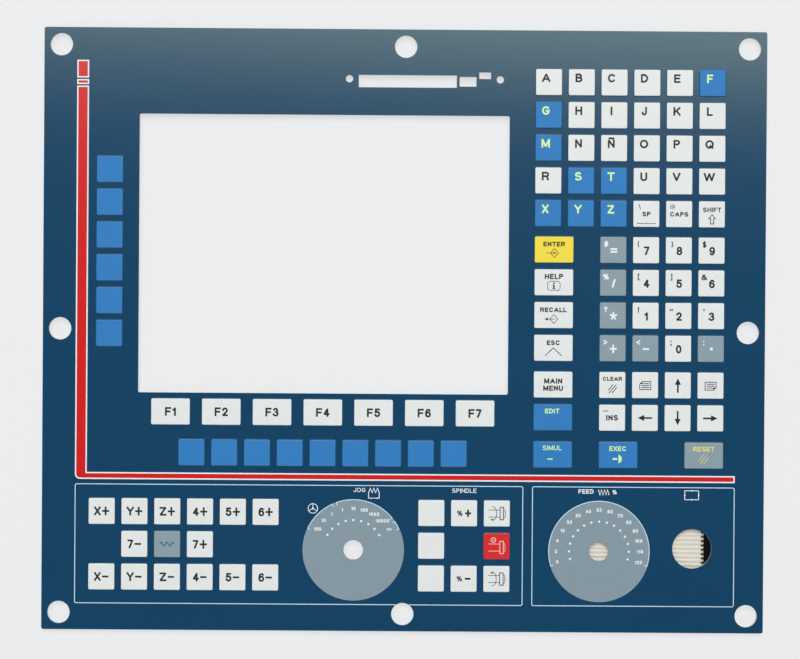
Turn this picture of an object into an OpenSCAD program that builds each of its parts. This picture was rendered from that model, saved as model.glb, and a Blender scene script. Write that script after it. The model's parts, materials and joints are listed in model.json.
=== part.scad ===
// Membrane keypad for a machine control: an embossed, printed front film over a laminated
// dome switch stack, with its flat tail and connector behind the lower right corner.
// Millimetres. X runs right, Y towards the top edge, Z up out of the printed face.
// The origin is under the middle of the sheet, level with the lowest face.

/* [Sheet] */
// Width of the sheet
panel_w = 420; // [412:1:440]
// Height of the sheet
panel_h = 350; // [347:1:370]
// Radius of the sheet's outer corners
panel_corner_r = 1.2; // [0.5:0.1:4]
// Distance of the mounting hole centres from the edges
hole_margin = 10; // [9:0.5:12]
// Diameter of the mounting holes
hole_d = 13; // [8:0.5:14]

/* [Layers] */
// Thickness of the printed front film
overlay_t = 0.25; // [0.18:0.01:0.35]
// Thickness of one printed field of ink
ink_t = 0.05; // [0.03:0.01:0.1]
// Thickness of the adhesive under the front film
overlay_adhesive_t = 0.1; // [0.05:0.01:0.2]
// Thickness of the spacer that holds the domes
spacer_t = 0.5; // [0.3:0.05:0.8]
// Thickness of the circuit film
circuit_t = 0.2; // [0.125:0.005:0.3]
// Distance that the circuit film stands back from the mounting holes
circuit_relief = 1; // [0.3:0.1:2]
// Thickness of the printed silver contacts
contact_t = 0.05; // [0.03:0.01:0.08]
// Thickness of the rear adhesive
rear_adhesive_t = 0.15; // [0.05:0.01:0.3]
// Thickness of the release liner
liner_t = 0.15; // [0.08:0.01:0.25]

/* [Keys] */
// Pitch of neighbouring keys
key_pitch = 19.05; // [18:0.05:19.5]
// Width and height of a square key's flat top
key_w = 15; // [13.5:0.5:16]
// Width of a wide key's flat top
wide_key_w = 22.3; // [20:0.1:24]
// Corner radius of a key's flat top
key_corner_r = 0.75; // [0.5:0.05:2]
// Height that the keys are embossed above the film
key_rise = 0.5; // [0.3:0.05:0.8]
// Run of the sloped flank round a key, seen from above
key_flank = 0.3; // [0.15:0.05:0.6]
// Pitch of the row of soft keys under the display
soft_pitch = 29.5; // [26:0.5:30]

/* [Key places] */
// Last letter column from the right edge
letter_right = 31.6; // [28:0.1:34]
// First letter row from the top edge
letter_top = 30; // [28:0.5:32]
// First number row from the top edge
number_top = 127.3; // [125:0.1:129]
// First editing row from the top edge
edit_top = 205.8; // [204:0.1:208]
// Run keys and the blue row from the bottom edge
run_bottom = 103.5; // [101:0.1:104]
// Soft key row below the display window
soft_drop = 11; // [10:0.1:12]
// Blue column from the left edge
menu_left = 38.5; // [36:0.1:42]
// First key of the blue column from the top edge
menu_top = 82.3; // [76:0.1:90]
// First jog column from the left edge
jog_left = 34.9; // [32:0.1:36]
// First row of the jog and spindle keys from the bottom edge
jog_bottom = 69; // [66:0.5:72]
// Last spindle column from the end of its line frame
spindle_inset = 15.3; // [12:0.1:18]

/* [Cut-outs] */
// Width of the display window
window_w = 215; // [200:1:216]
// Height of the display window
window_h = 162; // [150:1:163]
// Display window from the left edge
window_left = 55.5; // [54:0.1:57]
// Display window from the top edge
window_top = 49.9; // [47:0.1:51]
// Corner radius of the display window
window_corner_r = 1; // [0.5:0.1:4]
// Width of the card slot
slot_w = 57; // [54:0.5:60]
// Height of the card slot
slot_h = 7.2; // [5:0.1:9]
// Middle of the card slot from the right edge
slot_right = 208.9; // [206:0.1:212]
// Middle of the card slot from the top edge
slot_top = 30.1; // [29:0.1:33]
// Width of the eject button opening
eject_w = 9.8; // [6:0.1:12]
// Height of the eject button opening
eject_h = 5.7; // [4:0.1:8]
// Strip of film between the slot, the eject opening and the lamp window
slot_web = 1.6; // [1:0.1:2.5]
// Width of the lamp window
lamp_w = 6.9; // [4:0.1:8]
// Height of the lamp window
lamp_h = 3.9; // [3:0.1:5]
// Middle of the lamp window above the middle of the slot
lamp_up = 3.6; // [0:0.1:4]
// Diameter of the two small screw holes beside the slot
screw_d = 4.3; // [3:0.1:5]
// Screw holes beyond the ends of the row of slots
screw_out = 5.4; // [4.5:0.1:7]
// Screw holes above the middle of the slot
screw_up = 1.3; // [0:0.1:3]
// Diameter of the two rotary switch holes
knob_hole_d = 11.4; // [9:0.1:14]
// Diameter of the stop button hole
stop_hole_d = 23; // [20:0.5:24]
// Stop button hole from the right edge
stop_right = 41.6; // [41:0.1:46]
// Stop button hole from the bottom edge
stop_bottom = 49.1; // [45:0.1:52]

/* [Print] */
// Diameter of the printed dials
dial_d = 59; // [50:0.5:62]
// Jog dial from the left edge
jog_dial_left = 181.2; // [178:0.1:184]
// Feed dial from the right edge
feed_dial_right = 95.8; // [92:0.1:97]
// Dials from the bottom edge
dial_bottom = 47.2; // [46:0.1:49]
// Radius of the ring of scale dots
dial_dot_r = 17.8; // [14:0.1:20]
// Diameter of a scale dot
dial_dot_d = 1.5; // [1:0.1:2]
// Angle between scale dots
dial_step = 15; // [12:0.5:15]
// Length of the ticks at the ends of the dial arcs
dial_tick = 1.7; // [1:0.1:3]
// Width of the printed lines
line_w = 0.7; // [0.4:0.05:1]
// Left side of the printed frames and stripe from the left edge
print_left = 19.1; // [17:0.1:22]
// Right side of the printed frames and stripe from the right edge
print_right = 17; // [15:0.1:19]
// Width of the right-hand line frame
feed_frame_w = 117.9; // [116:0.1:120]
// Gap between the two line frames
frame_gap = 5.2; // [3:0.1:7]
// Bottom of the line frames from the bottom edge
frame_bottom = 15.2; // [12:0.1:16]
// Height of the line frames
frame_h = 69.7; // [67:0.1:71]
// Corner radius of the line frames
frame_r = 1.2; // [0.8:0.1:3]
// Width of the upright stripe with its outlines
stripe_w = 6.9; // [4:0.1:8]
// Top of the stripe from the top edge
stripe_top = 19; // [17:0.5:24]
// Height of the block at the head of the stripe
stripe_head = 10.3; // [8:0.1:13]
// Height of the short bar under the head block
stripe_bar = 2.9; // [2:0.1:4]
// Gap above and below the short bar
stripe_gap = 0.9; // [0.5:0.1:2]
// Height of the stripe's run along the bottom, with its outlines
stripe_run = 4.1; // [3.2:0.1:5]
// Bottom of that run from the bottom edge
stripe_bottom = 87.5; // [86.5:0.1:89]
// Outer radius where the stripe turns
stripe_turn_r = 3; // [1.5:0.1:3]

/* [Domes] */
// Diameter of a snap dome
dome_d = 12; // [10:0.5:12.5]
// Thickness of the dome's steel
dome_t = 0.1; // [0.06:0.01:0.15]
// Diameter of a dome's flat crown
dome_crown_d = 4.8; // [3:0.1:6]
// Width of the steeper band at a dome's foot
dome_foot = 1.4; // [0.8:0.1:2]
// Height of that band
dome_foot_h = 0.5; // [0.3:0.05:0.6]
// Diameter of the vent hole in a dome
dome_vent_d = 0.8; // [0.5:0.1:1.5]
// Gap left between a dome and the key above it
dome_gap = 0.1; // [0.05:0.01:0.2]
// Room round a dome in the spacer
dome_room = 0.5; // [0.3:0.1:1]
// Width of the silver ring under a dome's rim
contact_ring_w = 1.4; // [1:0.1:2]
// Diameter of the silver pad under a dome's middle
contact_pad_d = 4; // [2:0.5:5]

/* [Tail] */
// Number of conductors in the tail
tail_ways = 22; // [16:1:24]
// Pitch of the conductors
tail_pitch = 2.54; // [2.4:0.01:2.54]
// Middle of the tail from the bottom edge
tail_bottom = 48.3; // [47:0.1:52]
// Start of the tail from the right edge
tail_start_right = 122; // [118:1:130]
// Thickness of the tail between its ribs
tail_t = 0.3; // [0.2:0.05:0.4]
// Height of the ribs over the conductors
rib_h = 0.35; // [0.2:0.05:0.4]
// Width of a rib at its foot
rib_w = 1.6; // [1.2:0.1:1.8]
// Length of the bonded end of the tail
tail_bond = 6; // [4:0.5:10]
// Length over which the tail drops behind the sheet
tail_drop = 5; // [3:0.5:8]
// Room round the tail in the layers that it passes
tail_room = 0.6; // [0.3:0.1:1]

/* [Connector] */
// Near side of the connector body from the right edge
conn_right = 34.4; // [34:0.1:36]
// Depth of the connector body along the tail
conn_depth = 14; // [12:0.5:18]
// Height of the connector
conn_h = 2.4; // [2.4:0.1:3.2]
// Wall beyond the outermost ways
conn_end = 1.6; // [1:0.1:3]
// Length of the comb teeth between the ribs
comb_len = 1.6; // [1:0.1:3]
// Size of a contact's square sleeve
contact_box = 1.4; // [1.2:0.05:1.5]
// Thickness of the contact metal
contact_metal = 0.2; // [0.15:0.01:0.25]
// Room round a contact or the tail in the connector
conn_room = 0.1; // [0.05:0.01:0.15]
// Length of tail held inside the connector
tail_hold = 4; // [3:0.1:5]

/* [Hidden] */
$fn = 48;
// Distance that a cut runs past the face it opens
over = 1;

left_x = -panel_w / 2;
right_x = panel_w / 2;
top_y = panel_h / 2;
bottom_y = -panel_h / 2;

// Heights of the undersides of the layers, from the connector's foot up
back_z = conn_h;
rear_adhesive_z = back_z + liner_t;
circuit_z = rear_adhesive_z + rear_adhesive_t;
spacer_z = circuit_z + circuit_t;
overlay_adhesive_z = spacer_z + spacer_t;
overlay_z = overlay_adhesive_z + overlay_adhesive_t;
face_z = overlay_z + overlay_t;
key_z = face_z + key_rise;
// A dome stands on its contacts and ends just under the key
dome_h = spacer_t + overlay_adhesive_t + key_rise - contact_t - dome_gap;

// Film of even thickness over the sloped flanks sets the hollow's size under a key
flank_angle = atan2(key_flank, key_rise);
key_inset = overlay_t * (1 - sin(flank_angle)) / cos(flank_angle);

// Ink of each place in a block: w white, b blue, g grey, y yellow, r red, a dot is left free
LETTER_ROWS = ["wwwwwb", "bwwwww", "bwwwww", "wbbwww", "bbbwww"];
NUMBER_ROWS = ["gwww", "gwww", "gwww", "ggwg"];
EDIT_ROWS = ["wwww", "wwww"];
COMMAND_ROWS = ["y", "w", "w", "w"];
MODE_ROWS = ["w", "b"];
SOFT_ROWS = ["wwwwwww"];
BLUE_ROWS = ["bbbbbbbbb"];
MENU_ROWS = ["b", "b", "b", "b", "b", "b"];
JOG_ROWS = ["wwwwww", ".wgw..", "wwwwww"];
SPINDLE_ROWS = ["www", "w.r", "www"];

letter_cols = len(LETTER_ROWS[0]);
number_cols = len(NUMBER_ROWS[0]);
last_col_x = right_x - letter_right;
first_col_x = last_col_x - (letter_cols - 1) * key_pitch;
number_x = last_col_x - (number_cols - 1) * key_pitch;
// A wide key lines up with the outer side of the column that it stands in
wide_shift = (wide_key_w - key_w) / 2;
command_x = first_col_x + wide_shift;
number_y = top_y - number_top;
edit_y = top_y - edit_top;
run_y = bottom_y + run_bottom;
window_x = left_x + window_left + window_w / 2;
window_y = top_y - window_top - window_h / 2;
soft_y = window_y - window_h / 2 - soft_drop;
feed_frame_x = right_x - print_right - feed_frame_w;
jog_frame_right = feed_frame_x - frame_gap;
jog_y = bottom_y + jog_bottom;

// The keys of a block as [x, y, width, ink]
function block(rows, x, y, pitch, w) = [
    for (j = [0:len(rows) - 1], i = [0:len(rows[j]) - 1]) if (rows[j][i] != ".")
        [x + i * pitch, y - j * key_pitch, w, rows[j][i]]
];
// First place of a row that is centred on the display window
function centred(rows, pitch) = window_x - (len(rows[0]) - 1) * pitch / 2;

KEYS = concat(
    block(LETTER_ROWS, first_col_x, top_y - letter_top, key_pitch, key_w),
    block(NUMBER_ROWS, number_x, number_y, key_pitch, key_w),
    block(EDIT_ROWS, number_x, edit_y, key_pitch, key_w),
    block(COMMAND_ROWS, command_x, number_y, key_pitch, wide_key_w),
    block(MODE_ROWS, command_x, edit_y, key_pitch, wide_key_w),
    block(["b"], command_x, run_y, key_pitch, wide_key_w),
    block(["b"], number_x + wide_shift, run_y, key_pitch, wide_key_w),
    block(["g"], last_col_x - wide_shift, run_y, key_pitch, wide_key_w),
    block(SOFT_ROWS, centred(SOFT_ROWS, soft_pitch), soft_y, soft_pitch, wide_key_w),
    block(BLUE_ROWS, centred(BLUE_ROWS, key_pitch), run_y, key_pitch, key_w),
    block(MENU_ROWS, left_x + menu_left, top_y - menu_top, key_pitch, key_w),
    block(JOG_ROWS, left_x + jog_left, jog_y, key_pitch, key_w),
    block(SPINDLE_ROWS, jog_frame_right - spindle_inset - 2 * key_pitch, jog_y, key_pitch, key_w)
);

slot_x = right_x - slot_right;
slot_y = top_y - slot_top;
eject_x = slot_x + (slot_w + eject_w) / 2 + slot_web;
lamp_x = eject_x + (eject_w + lamp_w) / 2 + slot_web;
SCREWS = [
    [slot_x - slot_w / 2 - screw_out, slot_y + screw_up],
    [lamp_x + lamp_w / 2 + screw_out, slot_y + screw_up]
];
jog_dial = [left_x + jog_dial_left, bottom_y + dial_bottom];
feed_dial = [right_x - feed_dial_right, bottom_y + dial_bottom];
stop_hole = [right_x - stop_right, bottom_y + stop_bottom];

// Dots of a dial are numbered from its left end; each arc spans dots [first, last]
JOG_DOTS = 9;
JOG_ARCS = [[0, 2], [3, 7], [8, 8]];
jog_arc_over = 5;
FEED_DOTS = 15;
FEED_ARCS = [[0, 14]];
feed_arc_over = 2;

tail_w = tail_ways * tail_pitch;
tail_y = bottom_y + tail_bottom;
tail_x = right_x - tail_start_right;
tail_z = conn_h / 2;
ribs_x = tail_x + tail_bond + tail_drop;
conn_x = right_x - conn_right;
conn_w = tail_w + 2 * conn_end;
// Sleeve of a contact, from behind the held tail to just inside the mating face
sleeve_x = conn_x + tail_hold + 2 * conn_room;
sleeve_len = conn_x + conn_depth - sleeve_x - contact_metal;
// Comb teeth stand between the ribs, level with the roof of the tail's slot
comb_w = tail_pitch - rib_w - 2 * conn_room;
comb_z = tail_z + tail_t / 2 + contact_metal + conn_room;
// Circle whose segment gives a rib of the set width and height
rib_r = (rib_w * rib_w / 4 + rib_h * rib_h) / (2 * rib_h);

// Which node to show, or all

// Rectangle with rounded corners, centred
module round_rect(w, h, r) {
    square([w, h - 2 * r], center = true);
    square([w - 2 * r, h], center = true);
    for (x = [-1, 1], y = [-1, 1]) translate([x * (w / 2 - r), y * (h / 2 - r)]) circle(r = r);
}

// The eight mounting holes: four corners and the middles of the four sides
module mounting_holes(relief = 0) for (x = [-1:1], y = [-1:1]) if (x != 0 || y != 0)
    translate([x * (panel_w / 2 - hole_margin), y * (panel_h / 2 - hole_margin)])
        circle(r = hole_d / 2 + relief);

// Every opening that is cut through the whole stack
module cutouts(relief) {
    mounting_holes(relief);
    translate([window_x, window_y]) round_rect(window_w, window_h, window_corner_r);
    translate([slot_x, slot_y]) square([slot_w, slot_h], center = true);
    translate([eject_x, slot_y]) square([eject_w, eject_h], center = true);
    translate([lamp_x, slot_y + lamp_up]) square([lamp_w, lamp_h], center = true);
    for (s = SCREWS) translate(s) circle(d = screw_d);
    for (d = [jog_dial, feed_dial]) translate(d) circle(d = knob_hole_d);
    translate(stop_hole) circle(d = stop_hole_d);
}

// One full layer of the stack; relief widens its mounting holes
module sheet(z, t, relief = 0) translate([0, 0, z]) linear_extrude(t) difference() {
    round_rect(panel_w, panel_h, panel_corner_r);
    cutouts(relief);
    children();
}

// Plateau with sloped flanks and conical corners; its flat top is at z = 0
module plateau(w, r, depth) {
    h = key_w - 2 * (key_corner_r - r);
    run = depth * key_flank / key_rise;
    translate([0, 0, -depth]) {
        for (x = [-1, 1], y = [-1, 1]) translate([x * (w / 2 - r), y * (h / 2 - r), 0])
            cylinder(r1 = r + run, r2 = r, h = depth);
        rotate([90, 0, 0]) linear_extrude(h - 2 * r, center = true)
            polygon([[-w / 2 - run, 0], [w / 2 + run, 0], [w / 2, depth], [-w / 2, depth]]);
        rotate([90, 0, 90]) linear_extrude(w - 2 * r, center = true)
            polygon([[-h / 2 - run, 0], [h / 2 + run, 0], [h / 2, depth], [-h / 2, depth]]);
    }
}

// Front film with every key embossed, hollow behind and of even thickness
module graphic_overlay() color("#1b4a70") difference() {
    union() {
        sheet(overlay_z, overlay_t);
        for (k = KEYS) translate([k[0], k[1], key_z]) plateau(k[2], key_corner_r, key_rise + overlay_t / 2);
    }
    for (k = KEYS) translate([k[0], k[1], key_z - overlay_t])
        plateau(k[2] - 2 * key_inset, key_corner_r - key_inset, key_rise + over / 4);
}

// Fields of one ink on the flat tops of the keys
module key_fields(ink) for (k = KEYS) if (k[3] == ink)
    translate([k[0], k[1], key_z]) linear_extrude(ink_t) round_rect(k[2], key_w, key_corner_r);

// A line frame, given its left, right and inset from the outer outline
module frame_field(x1, x2, inset)
    translate([(x1 + x2) / 2, bottom_y + frame_bottom + frame_h / 2])
        round_rect(x2 - x1 - 2 * inset, frame_h - 2 * inset, frame_r - inset);

// The stripe: head block, short bar and the long band that turns along the bottom
module stripe_field(inset) {
    x = left_x + print_left;
    y = bottom_y + stripe_bottom;
    bar_y = top_y - stripe_top - stripe_head - stripe_gap - stripe_bar;
    band_top = bar_y - stripe_gap;
    r = stripe_turn_r;
    translate([x + inset, bar_y + stripe_bar + stripe_gap + inset])
        square([stripe_w - 2 * inset, stripe_head - 2 * inset]);
    translate([x + inset, bar_y + inset]) square([stripe_w - 2 * inset, stripe_bar - 2 * inset]);
    translate([x + inset, y + r]) square([stripe_w - 2 * inset, band_top - y - r - inset]);
    translate([x + r, y + inset])
        square([right_x - print_right - x - r - inset, stripe_run - 2 * inset]);
    translate([x + r, y + r]) circle(r = r - inset);
}

// Angle of a dial's dot, counted from its left end
function dot_angle(dots, i) = 90 + ((dots - 1) / 2 - i) * dial_step;

// Scale of a dial: dots, and arcs round the rim with a tick at each end
module dial_scale(dots, arcs, arc_over) {
    for (i = [0:dots - 1]) rotate(dot_angle(dots, i)) translate([dial_dot_r, 0, 0])
        cylinder(d = dial_dot_d, h = ink_t);
    for (a = arcs) {
        start = dot_angle(dots, a[1]) - arc_over;
        end = dot_angle(dots, a[0]) + arc_over;
        rotate(start) rotate_extrude(angle = end - start)
            translate([dial_d / 2 - line_w, 0]) square([line_w, ink_t]);
        for (t = [start, end]) rotate(t) translate([dial_d / 2 - line_w / 2 - dial_tick, -line_w / 2, 0])
            cube([dial_tick, line_w, ink_t]);
    }
}

// White ink: keys, line frames, stripe outlines and dial scales
module white_print() color("#eef1f2") {
    key_fields("w");
    translate([0, 0, face_z]) linear_extrude(ink_t) difference() {
        union() {
            frame_field(left_x + print_left, jog_frame_right, 0);
            frame_field(feed_frame_x, right_x - print_right, 0);
            stripe_field(0);
        }
        frame_field(left_x + print_left, jog_frame_right, line_w);
        frame_field(feed_frame_x, right_x - print_right, line_w);
        stripe_field(line_w);
        mounting_holes();
    }
    translate([jog_dial[0], jog_dial[1], face_z + ink_t]) dial_scale(JOG_DOTS, JOG_ARCS, jog_arc_over);
    translate([feed_dial[0], feed_dial[1], face_z + ink_t])
        dial_scale(FEED_DOTS, FEED_ARCS, feed_arc_over);
}

// Light blue ink: the keys that carry machine functions
module blue_print() color("#3a83c6") key_fields("b");

// Grey ink: operator keys and both dials
module grey_print() color("#8b9ba6") {
    key_fields("g");
    for (d = [jog_dial, feed_dial]) translate([d[0], d[1], face_z]) linear_extrude(ink_t) difference() {
        circle(d = dial_d);
        circle(d = knob_hole_d);
    }
}

// Yellow ink: the enter key
module yellow_print() color("#f6da3c") key_fields("y");

// Red ink: the stop key and the stripe
module red_print() color("#d0302c") {
    key_fields("r");
    translate([0, 0, face_z]) linear_extrude(ink_t) stripe_field(line_w);
}

// Adhesive under the film, open below every embossed key
module overlay_adhesive() color("#d9dccf") sheet(overlay_adhesive_z, overlay_adhesive_t)
    for (k = KEYS) translate([k[0], k[1]])
        round_rect(k[2] - 2 * key_inset + 2 * key_flank, key_w - 2 * key_inset + 2 * key_flank,
            key_corner_r - key_inset + key_flank);

// Spacer with a round seat for each dome
module dome_spacer() color("#c9d3d8") sheet(spacer_z, spacer_t)
    for (k = KEYS) translate([k[0], k[1]]) circle(d = dome_d + 2 * dome_room);

// Shallow pressed domes with a vent hole, one under each key
module snap_domes() color("#b9bcc0") {
    vent_r = dome_vent_d / 2;
    crown_r = dome_crown_d / 2;
    rim_r = dome_d / 2;
    foot_r = rim_r - dome_foot;
    for (k = KEYS) translate([k[0], k[1], spacer_z + contact_t]) rotate_extrude() polygon([
        [vent_r, dome_h - dome_t], [crown_r, dome_h - dome_t], [foot_r, dome_foot_h - dome_t], [rim_r, 0],
        [rim_r, dome_t], [foot_r, dome_foot_h], [crown_r, dome_h], [vent_r, dome_h]
    ]);
}

// Printed silver: a ring under each dome's rim and a pad under its middle
module silver_contacts() color("#c4c7c9") for (k = KEYS)
    translate([k[0], k[1], spacer_z]) linear_extrude(contact_t) {
        difference() {
            circle(d = dome_d);
            circle(d = dome_d - 2 * contact_ring_w);
        }
        circle(d = contact_pad_d);
    }

// Circuit film that carries the contacts, clear of the screws
module circuit_film() color("#cfe0d4") sheet(circuit_z, circuit_t, circuit_relief);

// Opening in the rear layers where the tail comes through
module tail_slot() translate([tail_x - tail_room, tail_y - tail_w / 2 - tail_room])
    square([tail_bond + tail_drop + 2 * tail_room, tail_w + 2 * tail_room]);

// Adhesive that holds the keypad to its front plate
module rear_adhesive() color("#d5d8d4") sheet(rear_adhesive_z, rear_adhesive_t) tail_slot();

// Paper that covers the adhesive until the keypad is fitted
module release_liner() color("#e9e4d6") sheet(back_z, liner_t) tail_slot();

// Ribbed tail: bonded to the circuit film, stepped down behind the sheet, held in the connector
module flat_tail() color("#dedac8") {
    end_x = conn_x + tail_hold;
    translate([0, tail_y + tail_w / 2, 0]) rotate([90, 0, 0]) linear_extrude(tail_w) polygon([
        [tail_x, circuit_z - tail_t], [tail_x + tail_bond, circuit_z - tail_t],
        [ribs_x, tail_z - tail_t / 2], [end_x, tail_z - tail_t / 2],
        [end_x, tail_z + tail_t / 2], [ribs_x, tail_z + tail_t / 2],
        [tail_x + tail_bond, circuit_z], [tail_x, circuit_z]
    ]);
    translate([ribs_x, tail_y, tail_z]) rotate([90, 0, 90]) linear_extrude(conn_x - ribs_x)
        for (i = [0:tail_ways - 1]) translate([(i - (tail_ways - 1) / 2) * tail_pitch, 0]) intersection() {
            translate([0, tail_t / 2 + rib_h - rib_r]) circle(r = rib_r);
            translate([-rib_w / 2, 0]) square([rib_w, tail_t + rib_h]);
        }
}

// Black housing: comb between the ribs, slot for the tail, a chamber for each contact
module tail_connector() color("#1d1e20") difference() {
    union() {
        translate([conn_x, tail_y - conn_w / 2, 0]) cube([conn_depth, conn_w, conn_h]);
        for (i = [1:tail_ways - 1])
            translate([conn_x + comb_w / 2 - comb_len, tail_y + (i - tail_ways / 2) * tail_pitch, comb_z])
                linear_extrude(conn_h - comb_z) {
                    translate([0, -comb_w / 2]) square([comb_len, comb_w]);
                    circle(d = comb_w);
                }
    }
    translate([conn_x - over, tail_y - tail_w / 2 - conn_room, tail_z - tail_t / 2 - conn_room])
        cube([over + sleeve_x - conn_x, tail_w + 2 * conn_room, tail_t + contact_metal + 2 * conn_room]);
    for (i = [0:tail_ways - 1]) {
        side = contact_box + 2 * conn_room;
        translate([sleeve_x - conn_room, tail_y + (i - (tail_ways - 1) / 2) * tail_pitch - side / 2,
            tail_z - side / 2]) cube([conn_depth, side, side]);
    }
}

// Plated contacts: a tongue on the tail and a square sleeve for the mating pin
module connector_contacts() color("#c8c4b4") for (i = [0:tail_ways - 1])
    translate([sleeve_x, tail_y + (i - (tail_ways - 1) / 2) * tail_pitch, tail_z]) {
        pin = contact_box - 2 * contact_metal;
        difference() {
            translate([0, -contact_box / 2, -contact_box / 2]) cube([sleeve_len, contact_box, contact_box]);
            translate([contact_metal, -pin / 2, -pin / 2]) cube([sleeve_len, pin, pin]);
        }
        translate([-tail_hold, -pin / 2, tail_t / 2]) cube([tail_hold + contact_metal, pin, contact_metal]);
    }

graphic_overlay();
white_print();
blue_print();
grey_print();
yellow_print();
red_print();
overlay_adhesive();
dome_spacer();
snap_domes();
silver_contacts();
circuit_film();
rear_adhesive();
release_liner();
flat_tail();
tail_connector();
connector_contacts();
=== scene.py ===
"""Looks of a membrane keypad for a machine control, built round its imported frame.

The front film with its embossed keys, the printed inks, lines and legends are meshes made here.
The layers behind the film, the tail and its connector stay as the frame has them, with new finishes.
Places and sizes inside the functions are in millimetres from the middle of the sheet; a piece's
mesh is turned into metres when it is made.
"""

import json
import math
from collections import namedtuple
from types import SimpleNamespace

import bpy
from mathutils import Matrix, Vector
from mathutils.geometry import delaunay_2d_cdt


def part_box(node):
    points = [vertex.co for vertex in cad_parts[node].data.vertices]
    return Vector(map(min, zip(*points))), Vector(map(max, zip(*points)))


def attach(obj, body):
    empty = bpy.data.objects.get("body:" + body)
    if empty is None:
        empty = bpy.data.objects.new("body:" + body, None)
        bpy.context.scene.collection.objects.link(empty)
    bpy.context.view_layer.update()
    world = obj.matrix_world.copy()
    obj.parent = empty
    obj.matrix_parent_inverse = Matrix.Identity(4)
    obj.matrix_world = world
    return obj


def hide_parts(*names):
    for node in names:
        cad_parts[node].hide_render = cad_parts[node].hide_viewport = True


bl_info = {
    "name": "Membrane keypad",
    "version": (1, 0, 0),
    "blender": (4, 5, 0),
    "location": "View3D > Sidebar > Keypad",
    "description": "Builds the film, keys, legends, finishes and stage of a membrane keypad",
    "category": "Object",
}

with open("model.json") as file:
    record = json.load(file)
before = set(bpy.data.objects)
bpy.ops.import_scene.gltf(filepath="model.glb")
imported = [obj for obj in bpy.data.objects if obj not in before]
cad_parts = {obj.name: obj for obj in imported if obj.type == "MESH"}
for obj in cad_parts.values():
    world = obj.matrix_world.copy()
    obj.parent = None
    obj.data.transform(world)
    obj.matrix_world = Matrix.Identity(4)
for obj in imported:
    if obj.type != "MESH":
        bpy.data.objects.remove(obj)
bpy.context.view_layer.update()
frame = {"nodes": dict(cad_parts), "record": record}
BODY = "root"
MM = 0.001

# The sheet and its holes as the frame gives them, in millimetres
FILM_LOW, FILM_TOP = (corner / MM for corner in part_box("graphic_overlay"))
INK_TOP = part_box("white_print")[1].z / MM
MOUNTS = {mount["name"]: mount for mount in frame["record"]["mounts"]}
CORNERS = MOUNTS["corner_holes"]["dims"]


# Sizes and colours that a user would change


def linear(code):
    """The linear red, green and blue of a colour written as #rrggbb."""
    shares = (int(code[i : i + 2], 16) / 255 for i in (1, 3, 5))
    return tuple(s / 12.92 if s <= 0.04045 else ((s + 0.055) / 1.055) ** 2.4 for s in shares)


def amount(name, description, default, **settings):
    """A number of nought or more."""
    return bpy.props.FloatProperty(name=name, description=description, default=default, min=0.0, **settings)


def length(name, description, millimetres):
    """A length that the sidebar shows in the scene's units."""
    return amount(name, description, millimetres * MM, precision=5, unit="LENGTH")


def colour(name, description, code):
    """A colour that the sidebar shows as a swatch."""
    return bpy.props.FloatVectorProperty(
        name=name, description=description, default=linear(code), min=0.0, max=1.0, subtype="COLOR"
    )


class KeypadSizes(bpy.types.PropertyGroup):
    """Sizes of the keys, the print and the legends."""

    key_pitch: length("Key pitch", "Distance between neighbouring keys", 19.05)
    soft_pitch: length("Soft key pitch", "Distance between the keys under the display", 29.5)
    key_width: length("Key width", "Side of a square key's top", 15.0)
    wide_key_width: length("Wide key width", "Width of a wide key's top", 22.3)
    key_corner: length("Key corner", "Corner radius of a key's top", 0.75)
    key_rise: length("Key rise", "Height of the keys above the film", 0.5)
    ink: length("Ink", "Thickness of a printed field", INK_TOP - FILM_TOP.z)
    legend: length("Legend", "Thickness of the lettering", 0.02)
    line: length("Line", "Width of the frames and dial arcs", 0.45)
    stripe_line: length("Stripe line", "Width of the lines round the stripe", 0.75)
    sheet_corner: length("Sheet corner", "Corner radius of the sheet", 1.2)
    frame_corner: length("Frame corner", "Corner radius of the line frames", 1.2)
    dial: length("Dial", "Diameter of the printed dials", 59.0)
    dot_ring: length("Dot ring", "Radius of the ring of scale dots", 17.4)
    dot: length("Dot", "Diameter of a scale dot", 1.35)
    tick: length("Tick", "Length of the ticks at the ends of the dial arcs", 1.7)
    label_ring: length("Label ring", "Radius of the ring of dial numbers", 24.1)


class KeypadColours(bpy.types.PropertyGroup):
    """Colours of the film, the inks and the layers behind."""

    film: colour("Film", "Navy front film", "#0a3f62")
    white: colour("White keys", "Ink of the white keys", "#e1e5e3")
    blue: colour("Blue keys", "Ink of the machine function keys", "#2277ba")
    grey: colour("Grey keys", "Ink of the grey keys and dials", "#8699a2")
    yellow: colour("Yellow key", "Ink of the enter key", "#f0d93e")
    red: colour("Red", "Ink of the stop key and the stripe", "#d01b1a")
    lines: colour("Lines", "Ink of the frames and dial arcs", "#cbe5f3")
    bright: colour("Bright legend", "Stripe, dots, signs of film, dials and grey keys", "#eaf0f2")
    dark: colour("Dark legend", "Lettering on pale keys", "#0e0f11")
    pale: colour("Pale legend", "Lettering on blue keys", "#d0f6a0")
    rose: colour("Rose legend", "Signs on the stop key", "#f6bdb6")
    gold: colour("Gold legend", "Lettering of the reset key", "#f0e45c")
    adhesive: colour("Adhesive", "Both layers of adhesive", "#d6d8cf")
    spacer: colour("Spacer", "Film that seats the domes", "#c9d3d8")
    circuit: colour("Circuit film", "Film that carries the contacts", "#cfe0d4")
    steel: colour("Dome steel", "Snap domes", "#b9bcc0")
    silver: colour("Silver ink", "Printed contacts", "#c4c7c9")
    liner: colour("Liner", "Release paper on the back", "#e9e4d6")
    tail: colour("Tail", "Ribbed flat tail", "#dfdbce")
    connector: colour("Connector", "Moulded connector housing", "#050506")
    plating: colour("Plating", "Tinned contacts of the connector", "#c8c4b4")
    floor: colour("Floor", "Table under the keypad", "#ecedee")


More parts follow.
